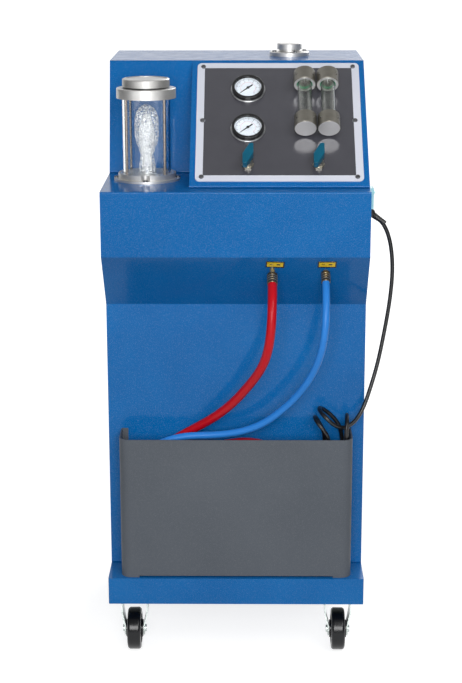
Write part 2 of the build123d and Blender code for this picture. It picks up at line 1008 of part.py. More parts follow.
def make_fittings():
    solids = []
    for (x, drop), (nipple, radius) in zip(fitting_places, fitting_sizes):
        stem = rod(x, -drop, -nipple_inside, nipple, nipple_radius)
        stem -= rod(x, -drop, -nipple_inside - cut, nipple + cut, nipple_radius / 2)
        solids.append(slant.location * stem)
        back_nut = nut(
            x, -drop, -sheet - fitting_nut_height, -sheet, fitting_nut_width, nipple_radius + fit
        )
        solids.append(slant.location * back_nut)
        ferrule = rod(x, -drop, nipple, nipple + ferrule_length, radius)
        ferrule = chamfer(ferrule.edges().sort_by(Axis.Z)[0], ferrule_chamfer)
        solids.append(slant.location * ferrule)
    return solids


def make_labels():
    solids = []
    places = [
        (red_fitting_x + label_x_shift, label_tilt),
        (blue_fitting_x + label_x_shift_right, 0),
    ]
    for x, tilt in places:
        plate = box(
            (-label_width / 2, -label_height / 2, 0),
            (label_width / 2, label_height / 2, label_thickness),
        )
        plate = fillet(plate.edges().filter_by(Axis.Z), label_thickness)
        solids.append(slant.location * Pos(x, -label_drop, 0) * Rot(0, 0, tilt) * plate)
    return solids


# Hoses and cord: straight runs joined by tangent arcs
def corner_radii(points):
    """A share of the shorter run beside each corner, over the tangent of half the turn."""
    radii = []
    for a, b, c in zip(points, points[1:], points[2:]):
        run_in = Vector(*b) - Vector(*a)
        run_out = Vector(*c) - Vector(*b)
        half = math.radians(run_in.get_angle(run_out) / 2)
        shorter = min(run_in.length, run_out.length)
        radii.append(min(arc_share * shorter / math.tan(half), arc_limit_share * shorter))
    return radii


def sweep_tube(points, radii, diameter, name):
    path = FilletPolyline(*points, radius=radii)
    start = Plane(origin=path @ 0, z_dir=path % 0)
    solid = sweep(start * Circle(diameter / 2), path=path)
    length = path.length
    share = solid.volume / (math.pi * diameter**2 / 4 * length)
    print(f"{name}: {length:.0f} mm, least radius {min(radii) / diameter:.2f} d, volume {share:.4f}")
    return solid


def self_gap(points, radii, diameter, name):
    """Least gap between parts of a tube that are not neighbours along it."""
    path = FilletPolyline(*points, radius=radii)
    step = diameter * sample_share
    count = int(path.length / step)
    samples = [path @ (i / count) for i in range(count + 1)]
    apart = int(math.pi * diameter / step)
    least = min(
        (samples[i] - samples[j]).length
        for i in range(len(samples))
        for j in range(i + apart, len(samples))
    )
    print(f"{name}: least gap to itself {least - diameter:.2f} mm")


def on_slant(x, drop, out):
    place = slant.location * Pos(x, -drop, out)
    return tuple(place.position)


def coil_levels(radius, diameter, pitch):
    bottom = base_top + coil_floor + diameter / 2 + ferrule_wall
    high = bottom + 2 * radius - pitch
    return bottom, bottom + pitch, high, high - pitch


def half_turn(run, diameter):
    """The radius of two quarter arcs that share a run, with a short straight between."""
    return (run - turn_straight_share * diameter) / 2


def coil_path(left, right, entry, leave, radius, first, diameter, pitch):
    """A flat coil of two layers: in to the middle, a climb, and out again."""
    low, inner_low, high, inner_high = coil_levels(radius, diameter, pitch)
    drop = coil_left_drop
    start = low + first + diameter
    whole = half_turn(high - low, diameter)
    left_side = half_turn(high - drop - inner_low, diameter)
    climb = half_turn(inner_high - inner_low, diameter)
    inner_left = half_turn(inner_high - drop - inner_low, diameter)
    right_side = half_turn(high - inner_low, diameter)
    last = half_turn(high - drop - low, diameter)
    corners = [
        (left, entry, low, first),
        (right, entry, low, whole),
        (right, entry, high, whole),
        (left + pitch, entry, high - drop, left_side),
        (left + pitch, entry, inner_low, left_side),
        (right - pitch, entry, inner_low, climb),
        (right - pitch, leave, inner_high, climb),
        (left + pitch, leave, inner_high - drop, inner_left),
        (left + pitch, leave, inner_low, inner_left),
        (right, leave, inner_low, right_side),
        (right, leave, high, right_side),
        (left, leave, high - drop, last),
        (left, leave, low, last),
    ]
    end = (left + last + coil_exit, leave, low)
    points = [(left, entry, start)] + [c[:3] for c in corners] + [end]
    return points, [corner[3] for corner in corners]


basket_inner_left = -basket_width / 2 + basket_sheet
red_left = basket_inner_left + coil_clear + red_hose_diameter / 2
blue_left = basket_inner_left + blue_coil_clear + blue_hose_diameter / 2
red_entry = body_front - basket_sheet - coil_clear - red_hose_diameter / 2
red_leave = red_entry - red_hose_diameter - layer_clear
blue_entry = red_leave - red_hose_diameter / 2 - coil_clear - blue_hose_diameter / 2
blue_leave = blue_entry - blue_hose_diameter - layer_clear


def make_hose_end(end, diameter):
    """The crimped sleeve, swivel nut and tail on the far end of a hose."""
    x, y, z = end
    radius = diameter / 2 + ferrule_wall
    sleeve_end = x + hose_end_length
    nut_end = sleeve_end + hose_end_nut_length
    sleeve = rod_x(y, z, x, sleeve_end, radius)
    sleeve = chamfer(sleeve.edges().filter_by(GeomType.CIRCLE), ferrule_chamfer / 2)
    hexagon = extrude(RegularPolygon(radius, 6), amount=hose_end_nut_length)
    swivel = Pos(sleeve_end, y, z) * Rot(0, 90, 0) * hexagon
    tail = rod_x(y, z, nut_end, nut_end + hose_end_tail_length, hose_end_tail_radius)
    tail -= rod_x(y, z, nut_end - cut, nut_end + hose_end_tail_length + cut, hose_end_tail_radius / 2)
    return [sleeve, swivel, tail]


def hose_route(place, drop_and_nipple, middle, entry_point):
    x, (drop, nipple) = place, drop_and_nipple
    start = on_slant(x, drop, nipple + ferrule_length)
    lead = on_slant(x, drop, nipple + ferrule_length + red_hose_diameter * lead_share)
    return [start, lead] + middle + [entry_point]


# Routes between the exits and the coils, as x, y from the front of the cabinet, z
red_middle = [
    (61, -38.2, 646.5),
    (60, -44, 621),
    (57, -44, 590),
    (51, -36, 560),
    (39, -22, 531),
    (18, -1, 498),
    (-6, 17, 466),
    (-34, 35, 438),
    (-60, 50, 418),
    (-85, 61, 401),
    (-112, 66.5, 383),
    (-142, 68.5, 370.5),
    (-168, 68.7, 349.5),
    (-184.5, 68.7, 323),
    (-191.2, 68.75, 295),
]
blue_middle = [
    (151, -30, 646.2),
    (150, -38, 619),
    (147, -38.5, 589),
    (141, -31.5, 560.5),
    (131.5, -21, 532.5),
    (118.5, -10, 506),
    (101.5, 1, 480.5),
    (78, 10, 455),
    (48, 20, 429),
    (12, 28, 412),
    (-30, 34, 404),
    (-68, 36, 402.5),
    (-98, 36.5, 399.5),
    (-126, 36.5, 391.5),
    (-153, 36.5, 375),
    (-173, 36.5, 350),
    (-185.5, 36.5, 319),
    (-190, 36.5, 288),
]
cord_middle = [
    (249, 85, 772.7),
    (260.5, 84.5, 752),
    (267.5, 83.5, 722),
    (270, 82.5, 682),
    (266, 80.5, 632),
    (257, 76, 577),
    (246, 68, 522),
    (232, 58.5, 476),
    (221.5, 52, 447),
    (208.5, 44.5, 427),
    (191.5, 36.5, 416),
    (173.5, 26, 421.5),
    (155.8, 23.5, 438.1),
    (145, 37.8, 447.5),
    (145, 58.2, 447.5),
    (155.8, 72.5, 438.1),
    (170, 72.2, 426.5),
    (180.2, 71.8, 412.5),
    (185.7, 71.7, 395),
    (186.9, 71.6, 376),
]

# The hank stands on edge in the right end of the basket: steps to the left of
# its right-hand side, for the legs that go down at the back and up at the front
hank_front_setback = 22
hank_back_setback = 71.5
hank_right = 195.4
hank_step = 4.25
hank_down_steps = (2, 0, 4)
hank_up_steps = (1, 3, 5)
hank_start = 358
hank_low = 153.5
hank_peak = 436
hank_high = 300
hank_end_x = 150
hank_lean = [(166, 22, 397), (145, 22, 425), (145, 71.5, 425), (150, 71.6, 392)]
hank_lean_radius = 60
hank_end = 330


def placed(points):
    return [(x, front + y, z) for x, y, z in points]


def hank_path():
    """Upright loops side by side; the first top stands above the basket and the
    last loop leans over before the plug hangs from it."""
    near = front + hank_front_setback
    far = front + hank_back_setback
    down = [hank_right - hank_step * i for i in hank_down_steps]
    up = [hank_right - hank_step * i for i in hank_up_steps]
    lows = [hank_low + cord_diameter + layer_clear, hank_low, hank_low]
    highs = [hank_peak, hank_high]
    points = [(down[0], far, hank_start)]
    for i, low in enumerate(lows):
        points += [(down[i], far, low), (up[i], near, low)]
        if i < len(highs):
            points += [(up[i], near, highs[i]), (down[i + 1], far, highs[i])]
    turns = len(points) - 1
    points += placed(hank_lean) + [(hank_end_x, far, hank_end)]
    turn = half_turn(math.hypot(far - near, hank_step), cord_diameter)
    tip = half_turn(far - near, cord_diameter)
    radii = [turn] * turns + [tip, tip, tip, hank_lean_radius]
    return points, radii


gland_y = front + gland_setback
gland_height = ledge - gland_drop


def gland_exit(reach):
    turn = math.radians(gland_tilt)
    x = side + gland_nut_length + reach * math.cos(turn)
    return (x, gland_y, gland_height - reach * math.sin(turn))


def make_gland():
    nut_end = side + gland_nut_length
    gland = rod_x(gland_y, gland_height, side, nut_end, gland_radius)
    ball = Pos(nut_end, gland_y, gland_height) * Sphere(gland_radius)
    keep = gland_radius + cut
    ball &= box(
        (nut_end, gland_y - keep, gland_height - keep),
        (nut_end + keep, gland_y + keep, gland_height + keep),
    )
    gland += ball
    collar = rod(0, 0, 0, gland_reach, gland_exit_radius)
    gland += Pos(nut_end, gland_y, gland_height) * Rot(0, 90 + gland_tilt, 0) * collar
    gland += rod_x(gland_y, gland_height, side - gland_inside, side, gland_thread_radius)
    ring = nut(0, 0, 0, gland_back_nut_height, 2 * gland_back_nut, gland_thread_radius + fit)
    low = side - sheet - gland_back_nut_height
    return [gland, Pos(low, gland_y, gland_height) * Rot(0, 90, 0) * ring]


def make_plug(end):
    """A flat two-pin plug hanging below the end of the cord."""
    x, y, z = end
    sleeve_low = z - plug_sleeve_length
    low = sleeve_low - plug_length
    sleeve = Pos(x, y, (z + sleeve_low) / 2) * Cone(
        plug_sleeve_radius, cord_diameter / 2 + ferrule_wall, plug_sleeve_length
    )
    half = plug_width / 2
    outline = Polyline(
        (x - half, low),
        (x + half, low),
        (x + half, sleeve_low - plug_waist),
        (x + half - plug_waist, sleeve_low),
        (x - half + plug_waist, sleeve_low),
        (x - half, sleeve_low - plug_waist),
        close=True,
    )
    place = Plane(origin=(0, y, 0), x_dir=(1, 0, 0), z_dir=(0, -1, 0))
    body = extrude(place * make_face(outline), amount=plug_thickness / 2, both=True)
    upright = body.edges().filter_by(Axis.Z)
    body = fillet(upright, plug_round)
    pins = []
    for sign in (-1, 1):
        pin = rod(x + sign * plug_pin_spread / 2, y, low - plug_pin_length, low, plug_pin_radius)
        pins.append(pin)
    return [sleeve + body] + pins


# Switch
switch_y = front + switch_setback
switch_height = ledge - switch_drop


def switch_body(low_x, high_x, grow):
    half_y = switch_width / 2 - switch_wall + grow
    half_z = switch_tall / 2 - switch_wall + grow
    return box(
        (low_x, switch_y - half_y, switch_height - half_z),
        (high_x, switch_y + half_y, switch_height + half_z),
    )


def rocker_axis_x():
    return side + rocker_pivot


def make_switch_frame():
    frame = box(
        (side, switch_y - switch_width / 2, switch_height - switch_tall / 2),
        (side + switch_proud, switch_y + switch_width / 2, switch_height + switch_tall / 2),
    )
    outer = frame.edges().group_by(Axis.X)[-1]
    frame = chamfer(outer, cut)
    frame += switch_body(side - switch_inside, side, 0)
    half_y = rocker_width / 2 + rocker_gap
    half_z = rocker_tall / 2 + rocker_end_gap
    back_x = rocker_axis_x() - rocker_back - rocker_end_gap
    frame -= box(
        (back_x, switch_y - half_y, switch_height - half_z),
        (side + switch_proud + cut, switch_y + half_y, switch_height + half_z),
    )
    reach = half_y + rocker_pin_length
    pins = rod_y(rocker_axis_x(), switch_height, switch_y - reach, switch_y + reach, rocker_pin_radius + fit)
    return frame - pins


def make_rocker():
    half = rocker_tall / 2
    x0 = rocker_axis_x()
    outline = make_face(
        Polyline(
            (-rocker_back, -half),
            (rocker_front + rocker_vee, -half),
            (rocker_front, 0),
            (rocker_front + rocker_vee, half),
            (-rocker_back, half),
            close=True,
        )
    )
    rocker = extrude(Plane.XZ * outline, amount=rocker_width / 2, both=True)
    reach = rocker_width / 2 + rocker_pin_length
    rocker += rod_y(0, 0, -reach, reach, rocker_pin_radius)
    return Pos(x0, switch_y, switch_height) * Rot(0, rocker_tilt, 0) * rocker


# Casters
def caster_places():
    x = side - caster_inset_x
    y_front = front + base_setback + caster_inset_y
    y_back = back - caster_inset_y
    return [(-x, y_front), (x, y_front), (-x, y_back), (x, y_back)]


caster_names = ["front_left", "front_right", "rear_left", "rear_right"]
plate_low = base_low - caster_plate_thickness
race_low = plate_low - race_height
crown_high = race_low - rest_gap
crown_low = crown_high - fork_sheet
axle_half = hub_width / 2 + fork_gap + fork_sheet


def bolt_places(x, y):
    signs = (-1, 1)
    return [(x + i * caster_bolt_spread, y + j * caster_bolt_spread) for i in signs for j in signs]


def make_caster_plate(x, y):
    half = caster_plate / 2
    plate = box((x - half, y - half, plate_low), (x + half, y + half, base_low))
    plate = fillet(plate.edges().filter_by(Axis.Z), caster_bolt_radius)
    plate += rod(x, y, race_low, plate_low, race_radius)
    head_high = crown_low - rest_gap
    plate += rod(x, y, head_high, race_low, kingpin_radius)
    plate += rod(x, y, head_high - kingpin_head_height, head_high, kingpin_head_radius)
    for bx, by in bolt_places(x, y):
        plate -= rod(bx, by, plate_low - cut, base_low + cut, caster_bolt_radius + bolt_fit)
    return plate


def make_caster_bolts():
    solids = []
    for x, y in caster_places():
        for bx, by in bolt_places(x, y):
            head_low = plate_low - caster_bolt_head_height
            nut_low = base_low + sheet
            nut_high = nut_low + caster_nut_height
            bolt = nut(bx, by, head_low, plate_low, 2 * caster_bolt_head, 0)
            bolt += rod(bx, by, plate_low, nut_high + caster_bolt_radius, caster_bolt_radius)
            solids.append(bolt)
            solids.append(nut(bx, by, nut_low, nut_high, 2 * caster_bolt_head, caster_bolt_radius + fit))
    return solids


def fork_band(outer_top, outer_low, high, low, shoulder, knee):
    """Front outline of the fork's sheet between the floor side and the crown."""
    return [
        (-outer_top, high),
        (-outer_top, shoulder),
        (-outer_low, knee),
        (-outer_low, low),
        (outer_low, low),
        (outer_low, knee),
        (outer_top, shoulder),
        (outer_top, high),
    ]


def make_fork(x, y):
    low = wheel_radius - fork_foot_radius
    height = crown_high - low
    shoulder = low + height * fork_shoulder_share
    knee = low + height * fork_knee_share
    outer = fork_band(fork_top_half, axle_half, crown_high, low, shoulder, knee)
    t = fork_sheet
    inner = fork_band(fork_top_half - t, axle_half - t, crown_low, low - cut, shoulder, knee)
    outer_face = make_face(Polyline(*outer, close=True))
    inner_face = make_face(Polyline(*inner, close=True))
    reach = crown_radius + caster_trail + fork_foot_radius
    band = extrude(Plane.XZ * outer_face, amount=reach, both=True)
    band -= extrude(Plane.XZ * inner_face, amount=reach + cut, both=True)
    foot = fork_foot_radius
    side_outline = [
        (crown_radius, crown_high + cut),
        (crown_radius, crown_low),
        (-caster_trail + foot, wheel_radius),
        (-caster_trail + foot / 2, low),
        (-caster_trail - foot / 2, low),
        (-caster_trail - foot, wheel_radius),
        (-crown_radius, crown_low),
        (-crown_radius, crown_high + cut),
    ]
    fork = band & prism(side_outline, -fork_top_half - cut, fork_top_half + cut)
    fork -= rod(0, 0, crown_low - cut, crown_high + cut, kingpin_radius + fit)
    fork -= rod_x(-caster_trail, wheel_radius, -axle_half - cut, axle_half + cut, axle_radius + fit)
    axle = rod_x(-caster_trail, wheel_radius, -axle_half, axle_half, axle_radius)
    for sign in (-1, 1):
        ends = sorted((sign * axle_half, sign * (axle_half + axle_head_length)))
        axle += rod_x(-caster_trail, wheel_radius, *ends, axle_head_radius)
    return [Pos(x, y, 0) * fork, Pos(x, y, 0) * axle]


def make_wheel(x, y):
    y_axle = y - caster_trail
    half = wheel_width / 2
    tyre = rod_x(y_axle, wheel_radius, x - half, x + half, wheel_radius)
    tyre = fillet(tyre.edges().filter_by(GeomType.CIRCLE), tyre_round)
    tyre -= rod_x(y_axle, wheel_radius, x - half - cut, x + half + cut, rim_radius)
    rim = rod_x(y_axle, wheel_radius, x - rim_width / 2, x + rim_width / 2, rim_radius - fit)
    rim += rod_x(y_axle, wheel_radius, x - hub_width / 2, x + hub_width / 2, hub_radius)
    rim -= rod_x(y_axle, wheel_radius, x - hub_width, x + hub_width, axle_radius + fit)
    return [tyre, rim]


# Inside the cabinet
tank_y = front + tank_setback
tank_depth = back - sheet - tank_back_gap - tank_y
tank_length = side - sheet - tank_side_gap - tank_gap / 2


def tank_places():
    return {"new_fluid_tank": tank_gap / 2, "old_fluid_tank": -tank_gap / 2 - tank_length}


def make_tank(left, neck_x, neck_y):
    low = base_top
    high = base_top + tank_height
    tank = box((left, tank_y, low), (left + tank_length, tank_y + tank_depth, high))
    tank = fillet(tank.edges().filter_by(Axis.Z), tank_round)
    tank += rod(neck_x, neck_y, high, high + tank_neck_height, filler_neck_radius)
    w = tank_wall
    inside = box(
        (left + w, tank_y + w, low + w), (left + tank_length - w, tank_y + tank_depth - w, high - w)
    )
    inside = fillet(inside.edges().filter_by(Axis.Z), tank_round - w)
    tank -= inside
    return tank - rod(neck_x, neck_y, high - w - cut, high + tank_neck_height + cut, filler_bore_radius)


power_box_x = -side + power_box_wall + power_box_gap + power_box_length / 2
pump_x = power_box_x + power_box_length / 2 + pump_gap + motor_length
suction_x = pump_x + pump_head_length / 2


def make_shelf():
    t = sheet
    y_low = body_front + t
    y_high = back - t
    half = side - t
    shelf = box((-half, y_low, shelf_z - t), (half, y_high, shelf_z))
    for sign in (-1, 1):
        ends = sorted((sign * half, sign * (half - t)))
        shelf += box((ends[0], y_low, shelf_z - shelf_flange), (ends[1], y_high, shelf_z))
    hole = filler_neck_radius + shelf_hole_gap
    shelf -= rod(filler_x, filler_y, shelf_z - t - cut, shelf_z + cut, hole)
    hole = pump_pipe_radius + suction_hose_wall + rest_gap
    return shelf - rod(suction_x, pump_y, shelf_z - t - cut, shelf_z + cut, hole)


pump_y = front + pump_setback
pump_axis = shelf_z + pump_foot_thickness + pump_head_radius


def make_pump():
    head_low = pump_x
    head_high = pump_x + pump_head_length
    motor = rod_x(pump_y, pump_axis, head_low - motor_length, head_low, motor_radius)
    head = rod_x(pump_y, pump_axis, head_low, head_high, pump_head_radius)
    head += rod(suction_x, pump_y, shelf_z, pump_axis, pump_pipe_radius)
    head += rod(suction_x, pump_y, pump_axis, pump_axis + pump_head_radius + pump_pipe_drop, pump_pipe_radius)
    foot_x = head_low - motor_length / 2
    foot = box(
        (foot_x - pump_foot / 2, pump_y - motor_radius, shelf_z),
        (foot_x + pump_foot / 2, pump_y + motor_radius, pump_axis - motor_radius / 2),
    )
    foot -= rod_x(pump_y, pump_axis, head_low - motor_length - cut, head_low + cut, motor_radius + fit)
    return [motor, head, foot]


def make_power_box():
    t = power_box_wall
    x, y, z = power_box_x, pump_y, shelf_z
    low = (x - power_box_length / 2, y - power_box_depth / 2, z)
    high = (x + power_box_length / 2, y + power_box_depth / 2, z + power_box_height)
    outer = box(low, high)
    outer = fillet(outer.edges().filter_by(Axis.Z), t)
    inner = box((low[0] + t, low[1] + t, low[2] - cut), (high[0] - t, high[1] - t, high[2] - t))
    return outer - inner


def make_internal_hoses():
    solids = []
    tank_neck = base_top + tank_height + tank_neck_height
    filler_end = top - filler_neck_below
    solids.append(tube(filler_x, filler_y, tank_neck, filler_end, filler_neck_radius, filler_bore_radius))
    wall_radius = pump_pipe_radius + suction_hose_wall
    tank_top = base_top + tank_height
    solids.append(tube(suction_x, pump_y, tank_top, shelf_z, wall_radius, pump_pipe_radius))
    ends = zip(valve_places, fitting_places)
    for number, ((u, v), (x, drop)) in enumerate(ends):
        port = -valve_body_depth - valve_port_length
        a = (panel.location * Pos(u, v, port)).position
        b = (panel.location * Pos(u, v, port - inner_hose_valve_lead)).position
        c = (slant.location * Pos(x, -drop, -nipple_inside - inner_hose_fitting_lead)).position
        d = (slant.location * Pos(x, -drop, -nipple_inside)).position
        points = [tuple(p) for p in (a, b, c, d)]
        radii = corner_radii(points)
        solids.append(sweep_tube(points, radii, inner_hose_radius * 2, f"inner hose {number}"))
    return solids


def main():
    os.makedirs("parts", exist_ok=True)
    write("cabinet_shell", make_cabinet_shell())
    write("head_shell", make_head_shell())
    write("base_tray", make_base_tray())
    write("hose_basket", make_basket())
    write("rear_panel", make_rear_panel())
    write("instrument_plate", make_instrument_plate())
    write("panel_film", make_panel_film())
    cases = [make_gauge_case(u, v) for u, v in gauge_places]
    bezels = [make_gauge_bezel(u, v) for u, v in gauge_places]
    write("gauge_cases", cases)
    write("gauge_bezels", bezels)
    write("gauge_dials", [make_dial(u, v) for u, v in gauge_places])
    write("gauge_lenses", [make_lens(u, v) for u, v in gauge_places])
    for name, place in zip(("new_gauge_needle", "old_gauge_needle"), gauge_places):
        write(name, make_needle(*place))
    write("sight_tube_caps", make_sight_caps())
    write("sight_tube_glasses", make_sight_glasses())
    valves = [make_valve_body(u, v) for u, v in valve_places]
    write("valve_bodies", valves + [make_valve_nut(u, v) for u, v in valve_places])
    for name, place in zip(("left_valve_handle", "right_valve_handle"), valve_places):
        write(name, make_valve_handle(*place))
    write("reservoir_base", make_reservoir_base())
    write("reservoir_top_ring", make_reservoir_top())
    write("reservoir_cap", make_reservoir_cap())
    low = ring_top - reservoir_groove
    seal_top = low + reservoir_seal_height
    high = upper_low + reservoir_groove
    x, y = reservoir_x, reservoir_y
    radius = reservoir_glass_radius
    write("reservoir_glass", tube(x, y, seal_top, high - reservoir_seal_height, radius, glass_inner))
    reservoir_seals = [
        tube(x, y, low, seal_top, radius, glass_inner),
        tube(x, y, high - reservoir_seal_height, high, radius, glass_inner),
    ]
    write("glass_seals", make_sight_seals() + reservoir_seals)
    rods = [rod(*p, ring_top - rod_seat, upper_low + rod_seat, rod_radius) for p in rod_places()]
    write("tie_rods", rods)
    write("filter_sock", make_filter_sock())
    write("filter_standpipe", make_standpipe())
    write("filler_flange", make_filler_flange())
    write("filler_cap", make_filler_cap())
    write("pan_screws", make_pan_screws())
    write("hose_fittings", make_fittings())
    write("label_plates", make_labels())
    write_cords()
    write("switch_frame", make_switch_frame())
    write("switch_rocker", make_rocker())
    write("caster_plates", [make_caster_plate(x, y) for x, y in caster_places()])
    write("caster_bolts", make_caster_bolts())
    for name, (x, y) in zip(caster_names, caster_places()):
        write(f"{name}_fork", make_fork(x, y))
        write(f"{name}_wheel", make_wheel(x, y))
    new_left = tank_places()["new_fluid_tank"]
    old_left = tank_places()["old_fluid_tank"]
    write("new_fluid_tank", make_tank(new_left, filler_x, filler_y))
    write("old_fluid_tank", make_tank(old_left, old_left + tank_length / 2, filler_y))
    write("equipment_shelf", make_shelf())
    write("pump", make_pump())
    write("power_box", make_power_box())
    write("internal_hoses", make_internal_hoses())


def write_cords():
    red = coil_path(
        red_left, red_coil_right, red_entry, red_leave,
        red_coil_radius, red_first_radius, red_hose_diameter, red_coil_pitch,
    )
    blue = coil_path(
        blue_left, blue_coil_right, blue_entry, blue_leave,
        blue_coil_radius, blue_first_radius, blue_hose_diameter, blue_coil_pitch,
    )
    hoses = [
        ("red_hose", red, red_middle, red_hose_diameter, fitting_places[0], red_nipple_length),
        ("blue_hose", blue, blue_middle, blue_hose_diameter, fitting_places[1], blue_nipple_length),
    ]
    for name, coil, middle, diameter, (x, drop), nipple in hoses:
        points, radii = coil
        route = hose_route(x, (drop, nipple), placed(middle), points[0])
        free_radii = corner_radii(route)
        print(name, "radii", [round(r) for r in free_radii])
        write(name, sweep_tube(route, free_radii, diameter, name))
        write(f"{name}_coil", sweep_tube(points, radii, diameter, f"{name} coil"))
        self_gap(points, radii, diameter, f"{name} coil")
        write(f"{name}_end", make_hose_end(points[-1], diameter))
    points, radii = hank_path()
    route = [gland_exit(gland_reach)] + placed(cord_middle) + [points[0]]
    free_radii = corner_radii(route)
    print("power_cord radii", [round(r) for r in free_radii])
    write("power_cord", sweep_tube(route, free_radii, cord_diameter, "power cord"))
    write("power_cord_hank", sweep_tube(points, radii, cord_diameter, "power cord hank"))
    self_gap(points, radii, cord_diameter, "power cord hank")
    write("power_plug", make_plug(points[-1]))
    write("cable_gland", make_gland())


main()
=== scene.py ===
"""The looks of a coolant flush machine: materials, hoses, cloth, trim, light and camera."""
import json
import math
import random

import bmesh
import bpy
from mathutils import Matrix, Vector


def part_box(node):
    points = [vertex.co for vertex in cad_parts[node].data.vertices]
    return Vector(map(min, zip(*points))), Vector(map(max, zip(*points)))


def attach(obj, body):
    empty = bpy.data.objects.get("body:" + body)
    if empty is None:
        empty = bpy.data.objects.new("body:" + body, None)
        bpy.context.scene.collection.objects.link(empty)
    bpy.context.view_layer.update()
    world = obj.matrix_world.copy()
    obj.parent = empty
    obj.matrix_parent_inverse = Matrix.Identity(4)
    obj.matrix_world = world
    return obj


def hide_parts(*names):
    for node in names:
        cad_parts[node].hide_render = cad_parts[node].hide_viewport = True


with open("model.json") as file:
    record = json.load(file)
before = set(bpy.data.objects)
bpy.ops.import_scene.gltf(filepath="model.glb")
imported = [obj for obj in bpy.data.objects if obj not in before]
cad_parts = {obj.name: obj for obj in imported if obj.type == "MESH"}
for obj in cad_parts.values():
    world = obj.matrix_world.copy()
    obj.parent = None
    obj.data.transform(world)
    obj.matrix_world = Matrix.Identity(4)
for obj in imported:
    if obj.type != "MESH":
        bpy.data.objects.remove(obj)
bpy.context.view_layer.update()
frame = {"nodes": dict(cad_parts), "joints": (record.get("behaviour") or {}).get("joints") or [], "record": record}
nodes = frame["nodes"]
random.seed(7)

# Metres. The frame's X is to the right, Y to the back, Z up, with the floor at Z = 0.
MM = 0.001
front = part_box("cabinet_shell")[0].y
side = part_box("cabinet_shell")[1].x
base_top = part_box("base_tray")[1].z
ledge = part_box("cabinet_shell")[1].z
fascia_height = 110 * MM

# Slopes in millimetres, as a run and a climb
console_run, console_climb = 221, 193
slant_run, slant_climb = 80, 99

# The sloping panel: across, up the slope and outward
panel_across = Vector((1, 0, 0))
panel_rise = Vector((0, console_run, console_climb)).normalized()
panel_out = panel_across.cross(panel_rise)

# The slanted face below the fascia
slant_across = Vector((1, 0, 0))
slant_rise = Vector((0, -slant_run, slant_climb)).normalized()
slant_out = Vector((0, -slant_rise.z, slant_rise.y))
slant_top = Vector((0, front, ledge - fascia_height))


def on_slant(across, drop, out):
    return slant_top + slant_across * across - slant_rise * drop + slant_out * out


def joint_place(name):
    joint = next(j for j in frame["joints"] if j["name"] == name)
    return Vector(joint["pos_m"])


def basis(across, up, out, place):
    """A matrix whose x, y and z axes are these directions, at a place."""
    matrix = Matrix((across, up, out)).transposed().to_4x4()
    matrix.translation = place
    return matrix


# Colours
def srgb(red, green, blue):
    """A colour as a screen shows it, from 0 to 255, in the linear values that shaders take."""
    def linear(value):
        share = value / 255
        return share / 12.92 if share <= 0.04045 else ((share + 0.055) / 1.055) ** 2.4

    return (linear(red), linear(green), linear(blue), 1)


# Material building blocks
def shader_of(name, colour, roughness, **settings):
    material = bpy.data.materials.new(name)
    material.use_nodes = True
    tree = material.node_tree
    shader = tree.nodes["Principled BSDF"]
    shader.inputs["Base Color"].default_value = colour
    shader.inputs["Roughness"].default_value = roughness
    for label, value in settings.items():
        shader.inputs[label.replace("_", " ").title().replace("Ior", "IOR")].default_value = value
    return material, tree, shader


def place_coords(tree, stretch=(1, 1, 1)):
    coords = tree.nodes.new("ShaderNodeTexCoord")
    mapping = tree.nodes.new("ShaderNodeMapping")
    mapping.inputs["Scale"].default_value = stretch
    tree.links.new(coords.outputs["Object"], mapping.inputs["Vector"])
    return mapping.outputs["Vector"]


def noise(tree, coords, scale, detail=2.0, roughness=0.5):
    node = tree.nodes.new("ShaderNodeTexNoise")
    node.inputs["Scale"].default_value = scale
    node.inputs["Detail"].default_value = detail
    node.inputs["Roughness"].default_value = roughness
    tree.links.new(coords, node.inputs["Vector"])
    return node.outputs["Fac"]


def cells(tree, coords, scale, feature="F1"):
    node = tree.nodes.new("ShaderNodeTexVoronoi")
    node.feature = feature
    node.inputs["Scale"].default_value = scale
    tree.links.new(coords, node.inputs["Vector"])
    return node.outputs["Distance"]


def ramp(tree, source, stops):
    node = tree.nodes.new("ShaderNodeValToRGB")
    elements = node.color_ramp.elements
    while len(elements) < len(stops):
        elements.new(0.5)
    for element, (place, colour) in zip(elements, stops):
        element.position = place
        element.color = colour
    tree.links.new(source, node.inputs["Fac"])
    return node.outputs["Color"]


def grey(value):
    return (value, value, value, 1)


def shaded(colour, share):
    """A colour with its light changed to a share, and no channel past white."""
    return tuple(min(1, channel * share) for channel in colour[:3]) + (1,)


def mixed(tree, factor, first, second, blend="MIX"):
    node = tree.nodes.new("ShaderNodeMix")
    node.data_type = "RGBA"
    node.blend_type = blend
    if isinstance(factor, (int, float)):
        node.inputs["Factor"].default_value = factor
    else:
        tree.links.new(factor, node.inputs["Factor"])
    for socket, value in ((node.inputs["A"], first), (node.inputs["B"], second)):
        if isinstance(value, tuple):
            socket.default_value = value
        else:
            tree.links.new(value, socket)
    return node.outputs["Result"]


def bump(tree, shader, height, strength, distance):
    node = tree.nodes.new("ShaderNodeBump")
    node.inputs["Strength"].default_value = strength
    node.inputs["Distance"].default_value = distance
    tree.links.new(height, node.inputs["Height"])
    tree.links.new(node.outputs["Normal"], shader.inputs["Normal"])


def vary_roughness(tree, shader, source, low, high):
    shade = ramp(tree, source, [(0.3, grey(low)), (0.7, grey(high))])
    tree.links.new(shade, shader.inputs["Roughness"])


# Materials: the depths of their surface marks, and how light tarnish is beside clean metal
peel_depth = 0.6 * MM
tool_mark_depth = 0.2 * MM
grain_depth = 0.15 * MM
thread_depth = 0.5 * MM
tarnish_share = 0.88


